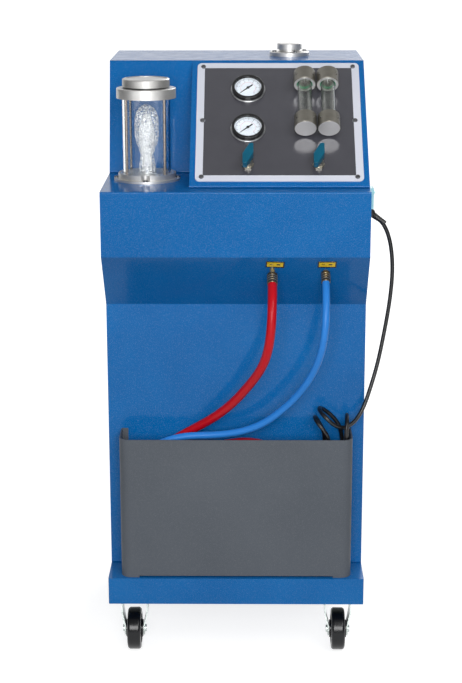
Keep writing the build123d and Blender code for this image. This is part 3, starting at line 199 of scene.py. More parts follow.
def painted_sheet(name, colour, dark, light, roughness, coat, sparkle):
    """Gloss paint over sheet: slow tone changes, fine metallic specks and orange peel."""
    material, tree, shader = shader_of(
        name, colour, roughness, coat_weight=coat, coat_roughness=0.06, specular_ior_level=0.06
    )
    coords = place_coords(tree)
    whiter_share, uneven = 0.22, 0.04
    slow = noise(tree, coords, scale=6, detail=3)
    tone = ramp(tree, slow, [(0.25, dark), (0.5, colour), (0.78, light)])
    specks = noise(tree, coords, scale=1300, detail=1)
    mask = ramp(tree, specks, [(0.58, grey(0)), (0.72, grey(sparkle))])
    speck_colour = mixed(tree, whiter_share, light, grey(1))
    tree.links.new(mixed(tree, mask, tone, speck_colour), shader.inputs["Base Color"])
    cloud = noise(tree, coords, scale=40, detail=4)
    vary_roughness(tree, shader, cloud, roughness - uneven, roughness + uneven)
    peel = noise(tree, coords, scale=420, detail=2)
    bump(tree, shader, peel, strength=0.05, distance=peel_depth)
    return material


def machined_metal(name, colour, roughness, scale, stretch=(1, 1, 1), strength=0.08, metallic=1.0):
    """Metal with fine tool marks that run one way and a little tarnish."""
    material, tree, shader = shader_of(name, colour, roughness, metallic=metallic)
    marks = noise(tree, place_coords(tree, stretch), scale, detail=3, roughness=0.6)
    tarnish = noise(tree, place_coords(tree), scale=60, detail=4)
    tone = ramp(tree, tarnish, [(0.3, shaded(colour, tarnish_share)), (0.62, colour)])
    tree.links.new(tone, shader.inputs["Base Color"])
    vary_roughness(tree, shader, marks, roughness - 0.05, roughness + 0.1)
    bump(tree, shader, marks, strength, distance=tool_mark_depth)
    return material


def moulded(name, colour, roughness, grain=1500, strength=0.08, coat=0.0, cloudy=0.1, mirror=0.5):
    """Moulded plastic or rubber: fine grain, slight unevenness of tone and gloss."""
    material, tree, shader = shader_of(
        name, colour, roughness, coat_weight=coat, coat_roughness=0.12, specular_ior_level=mirror
    )
    coords = place_coords(tree)
    cloud = noise(tree, coords, scale=45, detail=4)
    tone = ramp(tree, cloud, [(0.3, shaded(colour, 1 - cloudy)), (0.7, shaded(colour, 1 + cloudy))])
    tree.links.new(tone, shader.inputs["Base Color"])
    vary_roughness(tree, shader, cloud, roughness - 0.03, roughness + 0.04)
    bump(tree, shader, noise(tree, coords, grain, detail=2), strength, distance=grain_depth)
    return material


def facing(tree, direction, start, end):
    """A mask of 1 where the surface, in the object's own axes, faces a direction."""
    coords = tree.nodes.new("ShaderNodeTexCoord")
    dot = tree.nodes.new("ShaderNodeVectorMath")
    dot.operation = "DOT_PRODUCT"
    dot.inputs[1].default_value = tuple(direction)
    tree.links.new(coords.outputs["Normal"], dot.inputs[0])
    return ramp(tree, dot.outputs["Value"], [(start, grey(0)), (end, grey(1))])


def turned_nickel():
    """Nickel-brown turned sides, with a painted highlight that makes the end faces looking down the slope
    brighter.
    """
    side_dark, side_tone, lit_end_tone = srgb(118, 115, 106), srgb(132, 129, 121), srgb(212, 211, 212)
    material, tree, shader = shader_of("turned_nickel", side_tone, roughness=0.38, metallic=0.72)
    # Painted highlight: the end faces that look down the slope get a brighter colour than the sides.
    lit_end_mask = facing(tree, -panel_rise, start=0.88, end=0.95)
    tarnish = noise(tree, place_coords(tree), scale=50, detail=4)
    sides = ramp(tree, tarnish, [(0.3, side_dark), (0.65, side_tone)])
    tree.links.new(mixed(tree, lit_end_mask, sides, lit_end_tone), shader.inputs["Base Color"])
    marks = noise(tree, place_coords(tree, stretch=(8, 1, 1)), scale=260, detail=3)
    vary_roughness(tree, shader, marks, low=0.32, high=0.46)
    bump(tree, shader, marks, strength=0.12, distance=tool_mark_depth)
    return material


def clear_glass(name, tint, roughness=0.02):
    """Glass that lets light through to what it holds, with faint water marks."""
    material, tree, shader = shader_of(name, tint, roughness, transmission_weight=1.0, ior=1.46)
    marks = noise(tree, place_coords(tree, stretch=(1, 1, 0.25)), scale=90, detail=4)
    vary_roughness(tree, shader, marks, roughness, roughness + 0.05)
    clear = tree.nodes.new("ShaderNodeBsdfTransparent")
    path = tree.nodes.new("ShaderNodeLightPath")
    mix = tree.nodes.new("ShaderNodeMixShader")
    output = tree.nodes["Material Output"]
    tree.links.new(path.outputs["Is Shadow Ray"], mix.inputs["Fac"])
    tree.links.new(shader.outputs["BSDF"], mix.inputs[1])
    tree.links.new(clear.outputs["BSDF"], mix.inputs[2])
    tree.links.new(mix.outputs["Shader"], output.inputs["Surface"])
    return material


def speckled_cloth(name, dark, light, threads, open_share):
    """Pale filter cloth, flecked, with see-through gaps between clumps of its threads."""
    material, tree, shader = shader_of(name, light, roughness=0.6, sheen_weight=0.2)
    coords = place_coords(tree)
    flakes = noise(tree, coords, threads, detail=3, roughness=0.7)
    tree.links.new(ramp(tree, flakes, [(0.40, dark), (0.56, light)]), shader.inputs["Base Color"])
    gap_scale_share = 0.8
    gaps = noise(tree, coords, threads * gap_scale_share, detail=2, roughness=0.8)
    soft = 0.03
    holes = ramp(tree, gaps, [(open_share - soft, grey(0.02)), (open_share + soft, grey(0.96))])
    tree.links.new(holes, shader.inputs["Alpha"])
    bump(tree, shader, cells(tree, coords, threads * 2), strength=0.5, distance=thread_depth)
    return material


paints = {
    "blue_paint": dict(
        colour=srgb(4, 99, 168), dark=srgb(5, 94, 161), light=srgb(12, 108, 178),
        roughness=0.20, coat=0.2, sparkle=0.4,
    ),
    "grey_paint": dict(
        colour=srgb(92, 97, 104), dark=srgb(88, 93, 100), light=srgb(96, 101, 108),
        roughness=0.40, coat=0.0, sparkle=0.3,
    ),
    "pale_plate": dict(
        colour=srgb(216, 219, 230), dark=srgb(210, 213, 225), light=srgb(222, 225, 235),
        roughness=0.42, coat=0.2, sparkle=0.2,
    ),
}
metals = {
    "steel": dict(
        colour=srgb(196, 198, 200), roughness=0.30, stretch=(1, 1, 0.2), scale=500, metallic=0.9
    ),
    "zinc": dict(colour=srgb(206, 214, 211), roughness=0.32, scale=260, strength=0.10, metallic=0.75),
    # Steel darkened as a painted dark reflection, for the screw heads
    "steel_with_painted_dark_reflection": dict(colour=srgb(120, 121, 124), roughness=0.30, scale=500),
    "chrome": dict(
        colour=srgb(218, 220, 224), roughness=0.16, stretch=(1, 1, 0.3), scale=400, strength=0.04
    ),
    "rod_steel": dict(
        colour=srgb(150, 141, 134), roughness=0.26, stretch=(1, 1, 0.2), scale=500, metallic=0.9
    ),
    "nut_nickel": dict(colour=srgb(186, 182, 170), roughness=0.28, scale=420, metallic=0.9),
    "brass": dict(colour=srgb(186, 176, 146), roughness=0.26, stretch=(1, 1, 0.3), scale=450),
    "bronze": dict(colour=srgb(116, 104, 84), roughness=0.30, scale=420, metallic=0.9),
    "aluminium": dict(
        colour=srgb(214, 213, 211), roughness=0.40, stretch=(1, 1, 12), scale=300, strength=0.10,
        metallic=0.8,
    ),
    "cap_aluminium": dict(
        colour=srgb(196, 195, 193), roughness=0.42, stretch=(1, 1, 9), scale=420, strength=0.22,
        metallic=0.8,
    ),
}
plastics = {
    "dark_film": dict(
        colour=srgb(71, 71, 78), roughness=0.17, grain=1800, strength=0.02, cloudy=0.03, mirror=1.0
    ),
    "black_plastic": dict(colour=srgb(26, 27, 29), roughness=0.42),
    "gloss_black": dict(colour=srgb(18, 18, 20), roughness=0.20, grain=900, strength=0.02, coat=0.5),
    "teal_plastic": dict(colour=srgb(0, 90, 116), roughness=0.30, grain=1200, strength=0.05, mirror=0.3),
    "cyan_plastic": dict(colour=srgb(176, 234, 242), roughness=0.24, grain=1200, strength=0.03, cloudy=0.05),
    "white_plastic": dict(colour=srgb(228, 233, 242), roughness=0.45, strength=0.03),
    "tank_plastic": dict(colour=srgb(224, 226, 220), roughness=0.40, grain=600, strength=0.12),
    "yellow_label": dict(colour=srgb(226, 190, 40), roughness=0.40, strength=0.03),
    "green_rubber": dict(colour=srgb(62, 152, 112), roughness=0.45),
    "red_rubber": dict(
        colour=srgb(188, 10, 26), roughness=0.30, grain=1000, strength=0.03, cloudy=0.03, mirror=0.25
    ),
    "blue_rubber": dict(
        colour=srgb(44, 128, 212), roughness=0.30, grain=1000, strength=0.03, cloudy=0.03, mirror=0.25
    ),
    "black_rubber": dict(colour=srgb(17, 18, 20), roughness=0.30, grain=1000, strength=0.06),
    "caster_rubber": dict(colour=srgb(9, 11, 15), roughness=0.24, grain=800, strength=0.06, mirror=0.4),
    "red_ink": dict(colour=srgb(196, 58, 58), roughness=0.5, strength=0.02),
}
cloths = {
    "mesh": dict(dark=srgb(112, 120, 138), light=srgb(250, 251, 252), threads=430, open_share=0.52),
    "core": dict(dark=srgb(196, 199, 206), light=srgb(252, 252, 252), threads=520, open_share=0.44),
}
materials = {name: painted_sheet(name, **looks) for name, looks in paints.items()}
materials.update({name: machined_metal(name, **looks) for name, looks in metals.items()})
materials.update({name: moulded(name, **looks) for name, looks in plastics.items()})
materials.update({name: speckled_cloth(f"filter_{name}", **looks) for name, looks in cloths.items()})
materials["nickel"] = turned_nickel()
materials["clear_glass"] = clear_glass("clear_glass", tint=(0.96, 0.98, 0.98, 1))
materials["sight_glass"] = clear_glass("sight_glass", tint=(0.80, 0.82, 0.78, 1), roughness=0.08)


# Materials of the nodes
node_materials = {
    "filler_cap": "aluminium",
    "sight_tube_caps": "nickel",
    "sight_tube_glasses": "sight_glass",
    "reservoir_cap": "cap_aluminium",
    # The screw heads' steel carries a painted dark reflection
    "pan_screws": "steel_with_painted_dark_reflection",
    "new_gauge_needle": "gloss_black",
    "old_gauge_needle": "gloss_black",
    "switch_frame": "cyan_plastic",
    "caster_plates": "zinc",
    "tie_rods": "rod_steel",
    "valve_bodies": "nut_nickel",
    "hose_fittings": "nut_nickel",
}
for corner in ("front_left", "front_right", "rear_left", "rear_right"):
    node_materials[f"{corner}_fork"] = "zinc"
for row in frame["record"]["subparts"]:
    name = row["node"]
    chosen = materials[node_materials.get(name) or row["material_slot"]]
    mesh = nodes[name].data
    mesh.materials.clear()
    mesh.materials.append(chosen)


# Building pieces
def piece(name, mesh, material, body="cabinet", smooth=True):
    item = bpy.data.objects.new(name, mesh)
    bpy.context.scene.collection.objects.link(item)
    mesh.materials.append(materials[material])
    for face in mesh.polygons:
        face.use_smooth = smooth
    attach(item, body)
    return item


def mesh_of(name, points, faces):
    mesh = bpy.data.meshes.new(name)
    mesh.from_pydata([tuple(p) for p in points], [], faces)
    mesh.validate()
    mesh.update()
    made = bmesh.new()
    made.from_mesh(mesh)
    bmesh.ops.recalc_face_normals(made, faces=made.faces)
    made.to_mesh(mesh)
    made.free()
    return mesh


def lathe(name, profile, matrix, sides=64):
    """Turn a closed outline of (radius, height) about the z axis of a matrix."""
    points, faces = [], []
    count = len(profile)
    for i in range(sides):
        angle = 2 * math.pi * i / sides
        for radius, height in profile:
            local = Vector((radius * math.cos(angle), radius * math.sin(angle), height))
            points.append(matrix @ local)
    for i in range(sides):
        near, far = i * count, (i + 1) % sides * count
        for k in range(count):
            after = (k + 1) % count
            faces.append((near + k, far + k, far + after, near + after))
    return mesh_of(name, points, faces)


def sharpen(item, angle=35):
    """Smooth shading that keeps edges sharper than an angle."""
    made = bmesh.new()
    made.from_mesh(item.data)
    for edge in made.edges:
        if len(edge.link_faces) == 2:
            edge.smooth = edge.calc_face_angle(0) < math.radians(angle)
    made.to_mesh(item.data)
    made.free()


def block(low, high, matrix, points, faces):
    """Add a box in a matrix's axes to lists of points and faces."""
    start = len(points)
    for z in (low[2], high[2]):
        for x, y in ((low[0], low[1]), (high[0], low[1]), (high[0], high[1]), (low[0], high[1])):
            points.append(matrix @ Vector((x, y, z)))
    for face in ((0, 3, 2, 1), (4, 5, 6, 7), (0, 1, 5, 4), (1, 2, 6, 5), (2, 3, 7, 6), (3, 0, 4, 7)):
        faces.append(tuple(start + i for i in face))


# Cords and hoses. Their points repeat the routes of the solids.
red_diameter = 15.5 * MM
blue_diameter = 13 * MM
cord_diameter = 7 * MM
layer_clear = 1 * MM

# A coil's arcs: the points between an arc's ends stand out, so that the spline keeps to the arc
arc_steps = 6
arc_step = math.pi / arc_steps
swell_share = 4 / (3 + math.cos(arc_step))


def route(places):
    """Places are x, y from the front of the cabinet, z."""
    return [Vector((x, front + y, z)) for x, y, z in places]


red_middle = route([
    (0.0610, -0.0382, 0.6465),
    (0.0600, -0.0440, 0.6210),
    (0.0570, -0.0440, 0.5900),
    (0.0510, -0.0360, 0.5600),
    (0.0390, -0.0220, 0.5310),
    (0.0180, -0.0010, 0.4980),
    (-0.0060, 0.0170, 0.4660),
    (-0.0340, 0.0350, 0.4380),
    (-0.0600, 0.0500, 0.4180),
    (-0.0850, 0.0610, 0.4010),
    (-0.1120, 0.0665, 0.3830),
    (-0.1420, 0.0685, 0.3705),
    (-0.1680, 0.0687, 0.3495),
    (-0.1845, 0.0687, 0.3230),
    (-0.1912, 0.06875, 0.2950),
])
blue_middle = route([
    (0.1510, -0.0300, 0.6462),
    (0.1500, -0.0380, 0.6190),
    (0.1470, -0.0385, 0.5890),
    (0.1410, -0.0315, 0.5605),
    (0.1315, -0.0210, 0.5325),
    (0.1185, -0.0100, 0.5060),
    (0.1015, 0.0010, 0.4805),
    (0.0780, 0.0100, 0.4550),
    (0.0480, 0.0200, 0.4290),
    (0.0120, 0.0280, 0.4120),
    (-0.0300, 0.0340, 0.4040),
    (-0.0680, 0.0360, 0.4025),
    (-0.0980, 0.0365, 0.3995),
    (-0.1260, 0.0365, 0.3915),
    (-0.1530, 0.0365, 0.3750),
    (-0.1730, 0.0365, 0.3500),
    (-0.1855, 0.0365, 0.3190),
    (-0.1900, 0.0365, 0.2880),
])
cord_middle = route([
    (0.2490, 0.0850, 0.7727),
    (0.2605, 0.0845, 0.7520),
    (0.2675, 0.0835, 0.7220),
    (0.2700, 0.0825, 0.6820),
    (0.2660, 0.0805, 0.6320),
    (0.2570, 0.0760, 0.5770),
    (0.2460, 0.0680, 0.5220),
    (0.2320, 0.0585, 0.4760),
    (0.2215, 0.0520, 0.4470),
    (0.2085, 0.0445, 0.4270),
    (0.1915, 0.0365, 0.4160),
    (0.1735, 0.0260, 0.4215),
    (0.1558, 0.0235, 0.4381),
    (0.1450, 0.0378, 0.4475),
    (0.1450, 0.0582, 0.4475),
    (0.1558, 0.0725, 0.4381),
    (0.1700, 0.0722, 0.4265),
    (0.1802, 0.0718, 0.4125),
    (0.1857, 0.0717, 0.3950),
    (0.1869, 0.0716, 0.3760),
])


def half_turn(edge, way, start, end, entry, leave):
    """Half a turn on edge in X and Z: way is 1 at the right end, -1 at the left."""
    radius = abs(end - start) / 2
    middle = (start + end) / 2
    rising = 1 if end > start else -1
    places = []
    for i in range(arc_steps + 1):
        angle = rising * (arc_step * i - math.pi / 2)
        reach = radius * (swell_share if 0 < i < arc_steps else 1)
        x = edge - way * radius + way * reach * math.cos(angle)
        share = i / arc_steps
        places.append(Vector((x, entry + (leave - entry) * share, middle + reach * math.sin(angle))))
    return places


# Hose coils in the basket
coil_floor = 0.4 * MM
ferrule_wall = 0.75 * MM
coil_left_drop = 25 * MM
coil_exit = 42 * MM
turn_straight_share = 0.75


def coil(left, right, entry, leave, radius, first, diameter, pitch):
    """A flat coil of two layers: in to the middle, a climb, and out again."""
    low = base_top + coil_floor + diameter / 2 + ferrule_wall
    inner_low = low + pitch
    high = low + 2 * radius - pitch
    inner_high = high - pitch
    left_high = high - coil_left_drop
    quarter_steps = arc_steps // 2
    places = [Vector((left, entry, low + first + diameter))]
    for i in range(quarter_steps + 1):
        angle = math.pi + arc_step * i
        reach = first * (swell_share if 0 < i < quarter_steps else 1)
        x = left + first + reach * math.cos(angle)
        places.append(Vector((x, entry, low + first + reach * math.sin(angle))))
    places += half_turn(right, 1, low, high, entry, entry)
    places += half_turn(left + pitch, -1, left_high, inner_low, entry, entry)
    places += half_turn(right - pitch, 1, inner_low, inner_high, entry, leave)
    places += half_turn(left + pitch, -1, inner_high - coil_left_drop, inner_low, leave, leave)
    places += half_turn(right, 1, inner_low, high, leave, leave)
    places += half_turn(left, -1, left_high, low, leave, leave)
    last = (left_high - low - turn_straight_share * diameter) / 2
    places.append(Vector((left + last + coil_exit, leave, low)))
    return places


# The mains cord's hank: upright loops that step to the left, and a last one that leans over
hank_front_setback = 22 * MM
hank_back_setback = 71.5 * MM
hank_near = front + hank_front_setback
hank_far = front + hank_back_setback
hank_right = 195.4 * MM
hank_step = 4.25 * MM
hank_down_steps = (2, 0, 4)
hank_up_steps = (1, 3, 5)
hank_start = 358 * MM
hank_low = 153.5 * MM
hank_peak = 436 * MM
hank_high = 300 * MM
hank_lean = route([
    (0.1690, 0.0220, 0.3960),
    (0.1380, 0.0230, 0.4330),
    (0.1370, 0.0640, 0.4330),
    (0.1620, 0.0690, 0.3880),
    (0.1500, 0.0715, 0.3300),
])


def hank_bend(x_from, x_to, edge, way):
    """Half a turn in Y and Z that steps from one X to another: way is 1 at the top, -1 below."""
    radius = (hank_far - hank_near) / 2
    middle = (hank_far + hank_near) / 2
    places = []
    for i in range(arc_steps + 1):
        angle = arc_step * i
        reach = radius * (swell_share if 0 < i < arc_steps else 1)
        x = x_from + (x_to - x_from) * i / arc_steps
        y = middle - way * reach * math.cos(angle)
        places.append(Vector((x, y, edge - way * radius + way * reach * math.sin(angle))))
    return places


def hank():
    """The whole hank, down to the plug."""
    down = [hank_right - hank_step * i for i in hank_down_steps]
    up = [hank_right - hank_step * i for i in hank_up_steps]
    lows = [hank_low + cord_diameter + layer_clear, hank_low, hank_low]
    highs = [hank_peak, hank_high]
    places = [Vector((down[0], hank_far, hank_start))]
    for i, low in enumerate(lows):
        places += hank_bend(down[i], up[i], low, -1)
        if i < len(highs):
            places += hank_bend(up[i], down[i + 1], highs[i], 1)
    return places + hank_lean


def cord_curve(name, points, diameter, material, replaced):
    """A round cord on one smooth spline, in a material that is also its slot."""
    curve = bpy.data.curves.new(name, "CURVE")
    curve.dimensions = "3D"
    curve.bevel_depth = diameter / 2
    curve.bevel_resolution = 6
    curve.resolution_u = 6
    curve.use_fill_caps = True
    spline = curve.splines.new("NURBS")
    spline.points.add(len(points) - 1)
    for point, place in zip(spline.points, points):
        point.co = (*place, 1)
    spline.order_u = 3
    spline.use_endpoint_u = True
    curve.materials.append(materials[material])
    item = bpy.data.objects.new(name, curve)
    bpy.context.scene.collection.objects.link(item)
    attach(item, "cabinet")
    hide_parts(*replaced)
    return item


# Each fitting: across, drop down the slanted face, nipple length
red_fitting = (61.6 * MM, 30 * MM, 13 * MM)
blue_fitting = (151.6 * MM, 36 * MM, 4 * MM)
ferrule_length = 21 * MM
ferrule_lead = 23.25 * MM


def hose_start(across, drop, nipple):
    """A hose's first two points: out of its ferrule, square to the slanted face."""
    mouth = nipple + ferrule_length
    return [on_slant(across, drop, mouth), on_slant(across, drop, mouth + ferrule_lead)]


# The coils lie one behind the other, from the body's front wall forward
basket_sheet = 2 * MM
coil_clear = 1.5 * MM
blue_coil_clear = 4 * MM
red_coil_right, blue_coil_right = 121 * MM, 115 * MM
red_coil_radius, blue_coil_radius = 122 * MM, 105 * MM
red_first_radius, blue_first_radius = 95 * MM, 90 * MM
red_coil_pitch, blue_coil_pitch = 17 * MM, 14.5 * MM
body_front = front + slant_run * MM
inner_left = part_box("hose_basket")[0].x + basket_sheet
red_left = inner_left + coil_clear + red_diameter / 2
blue_left = inner_left + blue_coil_clear + blue_diameter / 2
red_entry = body_front - basket_sheet - coil_clear - red_diameter / 2
red_leave = red_entry - red_diameter - layer_clear
blue_entry = red_leave - red_diameter / 2 - coil_clear - blue_diameter / 2
blue_leave = blue_entry - blue_diameter - layer_clear

red_points = hose_start(*red_fitting) + red_middle + coil(
    red_left, red_coil_right, red_entry, red_leave,
    red_coil_radius, red_first_radius, red_diameter, red_coil_pitch,
)
blue_points = hose_start(*blue_fitting) + blue_middle + coil(
    blue_left, blue_coil_right, blue_entry, blue_leave,
    blue_coil_radius, blue_first_radius, blue_diameter, blue_coil_pitch,
)

# The cord's gland on the cabinet's side, tilted down in degrees
gland_tilt = 35
gland_nut_length = 5 * MM
gland_setback = 85 * MM
gland_drop = 50 * MM
gland_reach = 11 * MM
gland_turn = math.radians(gland_tilt)
gland_middle = Vector((side + gland_nut_length, front + gland_setback, ledge - gland_drop))
gland_way = Vector((math.cos(gland_turn), 0, -math.sin(gland_turn)))
cord_exit = gland_middle + gland_way * gland_reach
cord_points = [cord_exit] + cord_middle + hank()

red_hose = cord_curve(
    "red_service_hose", red_points, red_diameter, "red_rubber", ["red_hose", "red_hose_coil"]
)
blue_hose = cord_curve(
    "blue_service_hose", blue_points, blue_diameter, "blue_rubber", ["blue_hose", "blue_hose_coil"]
)
power_cord = cord_curve(
    "mains_cord", cord_points, cord_diameter, "black_rubber", ["power_cord", "power_cord_hank"]
)


# Strain relief on the mains cord
def cord_relief():
    """A tapered sleeve of ridges round the cord, from inside the gland outward."""
    ridges, ridge_share = 6, 0.6
    start, length = 7 * MM, 24 * MM
    wide, taper = 5.6 * MM, 1.3 * MM
    groove, groove_slope = 0.6 * MM, 0.4 * MM
    bore_clear, tip_wall = 0.05 * MM, 0.5 * MM
    bore = cord_diameter / 2 + bore_clear
    outline = [(bore, 0), (wide, 0)]
    for i in range(ridges):
        low = length * i / ridges
        high = length * (i + ridge_share) / ridges
        radius = wide - taper * (i + 1) / ridges
        outline += [(radius, low), (radius, high), (radius - groove, high + groove_slope)]
    outline += [(bore + tip_wall, length), (bore, length)]
    turn = gland_way.to_track_quat("Z", "Y").to_matrix().to_4x4()
    turn.translation = gland_middle + gland_way * start
    mesh = lathe("cord_relief", outline, turn, sides=40)
    item = piece("cord_relief", mesh, "black_rubber")
    sharpen(item)
    return item


relief = cord_relief()


# Crimped ferrules over the hose ends
def crimped_ferrule(name, fitting, diameter):
    """A thin sleeve with three grooves, chamfered at the nipple and rounded at its mouth."""
    across, drop, nipple = fitting
    length, overlap = 21.6 * MM, 0.3 * MM
    wall, hose_clear, nipple_bore = 1.15 * MM, 0.1 * MM, 3.6 * MM
    groove, wide = 0.45 * MM, 1.1 * MM
    chamfer, lip_length, lip_depth = 0.8 * MM, 0.6 * MM, 0.5 * MM
    groove_shares = (0.28, 0.5, 0.72)
    radius = diameter / 2 + wall
    outline = [
        (diameter / 2 + hose_clear, length), (nipple_bore, 0), (radius - chamfer, 0), (radius, chamfer),
    ]
    for share in groove_shares:
        middle = length * share
        outline += [
            (radius, middle - wide), (radius - groove, middle - wide / 2),
            (radius - groove, middle + wide / 2), (radius, middle + wide),
        ]
    outline += [(radius, length - lip_length), (radius - lip_depth, length)]
    place = on_slant(across, drop, nipple - overlap)
    turn = basis(slant_across, slant_rise, slant_out, place)
    item = piece(name, lathe(name, outline, turn), "bronze")
    sharpen(item)


crimped_ferrule("red_hose_ferrule", red_fitting, red_diameter)
crimped_ferrule("blue_hose_ferrule", blue_fitting, blue_diameter)


# Reservoir: the sock's cloth, its inner core, and a black ring under the cap, both a seal and painted shade of the
# gap there
reservoir_low, reservoir_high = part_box("reservoir_base")
reservoir_x = (reservoir_low.x + reservoir_high.x) / 2
reservoir_y = (reservoir_low.y + reservoir_high.y) / 2
ring_top = reservoir_high.z
sock_foot = 1.5 * MM
sock_low = ring_top + sock_foot
sock_height = 115 * MM
sock_around = 129 * MM

# Shares of the sock's height, each with its radius in millimetres
sock_profile = [
    (0.0, 13.4), (0.09, 13.6), (0.17, 11.8), (0.25, 10.8), (0.33, 12.8), (0.43, 17.2), (0.54, 19.8),
    (0.66, 20.5), (0.78, 20.0), (0.87, 17.4), (0.94, 12.6), (0.98, 7.4), (1.0, 2.0),
]


def sock_radius(share):
    """The sock's radius at a share of its height, eased from one place to the next."""
    for (low, a), (high, b) in zip(sock_profile, sock_profile[1:]):
        if share <= high:
            t = (share - low) / (high - low)
            t = t * t * (3 - 2 * t)
            return (a + (b - a) * t) * MM
    return sock_profile[-1][1] * MM


def make_sock():
    """A cloth wrapped round, with a lap seam at the back, gathered at its neck and foot."""
    rows, sides, pleats = 90, 240, 13
    wrap_share, lap = 1.02, 0.5 * MM
    fullness, deepest_share = 3.2, 0.10
    lean, lean_waves = 1.3, 5
    crease_depth, creases_round, creases_up = 0.35 * MM, (9, 2), (14, 31)
    slack_low, slack_high = 0.7, 1.3
    slack = [random.uniform(slack_low, slack_high) for _ in range(pleats)]
    points, faces = [], []
    for row in range(rows + 1):
        share = row / rows
        radius = sock_radius(share)
        gather = max(0.0, 1 - 2 * math.pi * radius / sock_around)
        depth = min(radius * deepest_share, 2 * radius * math.sqrt(gather) / pleats * fullness)
        for i in range(sides + 1):
            turn = 2 * math.pi * wrap_share * i / sides
            phase = turn * pleats / (2 * math.pi)
            leant = lean * math.sin(lean_waves * share)
            fold = slack[int(phase) % pleats] * math.cos(2 * math.pi * phase + leant)
            first, second = (a * turn + b * share for a, b in zip(creases_round, creases_up))
            crease = crease_depth * math.sin(first) * math.sin(second)
            reach = radius + depth * 0.5 * fold + crease + lap * i / sides
            x = reservoir_x + reach * math.cos(turn + math.pi / 2)
            y = reservoir_y + reach * math.sin(turn + math.pi / 2)
            points.append((x, y, sock_low + sock_height * share))
    for row in range(rows):
        for i in range(sides):
            start = row * (sides + 1) + i
            faces.append((start, start + 1, start + sides + 2, start + sides + 1))
    item = piece("mesh_sock", mesh_of("mesh_sock", points, faces), "mesh")
    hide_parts("filter_sock")
    return item


sock = make_sock()


def make_core():
    """The pale core inside the sock: a slim hollow pear with a domed top."""
    # Radius and height in millimetres
    outer = [(7.0, 2), (9.0, 2), (8.8, 30), (13.5, 52), (13.0, 74), (9.4, 88)]
    inner = [(0.4, 101), (0.4, 99), (6.5, 92), (7.4, 60)]
    dome_radius, dome_height, dome_steps = 9.4, 13, 8
    dome_low = outer[-1][1]
    dome = []
    for i in range(1, dome_steps):
        angle = math.pi / 2 * i / dome_steps
        dome.append((dome_radius * math.cos(angle), dome_low + dome_height * math.sin(angle)))
    outline = [(radius * MM, height * MM) for radius, height in outer + dome + inner]
    turn = Matrix.Translation((reservoir_x, reservoir_y, ring_top))
    piece("filter_core", lathe("filter_core", outline, turn), "core")


make_core()


def ring_outline(inner, outer, low, high, soft):
    """A rectangular section with its outer corners cut off."""
    return [
        (inner, low), (outer - soft, low), (outer, low + soft), (outer, high - soft),
        (outer - soft, high), (inner, high),
    ]


def cap_seal_and_gap_shade():
    """A black rubber ring between the reservoir's top ring and its cap, which also stands as painted shade of the
    gap between them.
    """
    inner, outer, thickness = 36.1 * MM, 38.6 * MM, 1.5 * MM
    clear, soft = 0.4 * MM, 0.4 * MM
    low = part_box("reservoir_top_ring")[1].z + clear
    outline = ring_outline(inner, outer, low, low + thickness, soft)
    turn = Matrix.Translation((reservoir_x, reservoir_y, 0))
    mesh = lathe("cap_seal_and_gap_shade", outline, turn, sides=96)
    # The black ring is a rubber seal and also painted shade of the gap under the cap
    sharpen(piece("cap_seal_and_gap_shade", mesh, "black_rubber", "reservoir_cap"))


cap_seal_and_gap_shade()


# Gauges: scales on the dials and a thin outer ring
dial_start, dial_sweep = math.radians(221), math.radians(270)


def gauge_matrix(joint):
    return basis(panel_across, panel_rise, panel_out, joint_place(joint))


def dial_marks(name, joint, divisions=50, major=5, red_every=3):
    """Black outer scale and red inner scale, as thin bars on the dial."""
    black_reach, black_rim = 21.4 * MM, 21.75 * MM
    black_long, black_short = 17.6 * MM, 19.4 * MM
    black_long_half, black_short_half = 0.28 * MM, 0.14 * MM
    red_reach, red_middle_reach, red_rim = 13.2 * MM, 13.3 * MM, 13.45 * MM
    red_long, red_short, red_half = 11.4 * MM, 12.0 * MM, 0.12 * MM
    thick, arc_sides = 0.08 * MM, 60
    matrix = gauge_matrix(joint)
    black, red = ([], []), ([], [])

    def bar(ink, share, inner, outer, half):
        turn = matrix @ Matrix.Rotation(dial_start - dial_sweep * share, 4, "Z")
        block((inner, -half, 0), (outer, half, thick), turn, *ink)

    for i in range(divisions + 1):
        if i % major == 0:
            bar(black, i / divisions, black_long, black_reach, black_long_half)
        else:
            bar(black, i / divisions, black_short, black_reach, black_short_half)
        if i % red_every == 0:
            bar(red, i / divisions, red_long if i % major == 0 else red_short, red_reach, red_half)
    for i in range(arc_sides):
        share = (i + 0.5) / arc_sides
        bar(red, share, red_reach, red_rim, red_middle_reach * dial_sweep / arc_sides / 2)
        bar(black, share, black_reach, black_rim, black_reach * dial_sweep / arc_sides / 2)
    piece(f"{name}_scale", mesh_of(name, *black), "gloss_black", smooth=False)
    piece(f"{name}_inner_scale", mesh_of(name, *red), "red_ink", smooth=False)


def dial_numbers(name, joint, count=5, step=2):
    """Plain numbers from 0, evenly round the dial."""
    reach, size, above, thick = 15.3 * MM, 3.1 * MM, 0.06 * MM, 0.04 * MM
    matrix = gauge_matrix(joint)
    for i in range(count + 1):
        curve = bpy.data.curves.new(f"{name}_number_{i}", "FONT")
        curve.body = str(step * i)
        curve.size = size
        curve.extrude = thick
        curve.align_x = "CENTER"
        curve.align_y = "CENTER"
        curve.materials.append(materials["gloss_black"])
        item = bpy.data.objects.new(f"{name}_number_{i}", curve)
        bpy.context.scene.collection.objects.link(item)
        angle = dial_start - dial_sweep * i / count
        place = Vector((reach * math.cos(angle), reach * math.sin(angle), above))
        item.matrix_world = matrix @ Matrix.Translation(place)
        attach(item, "cabinet")


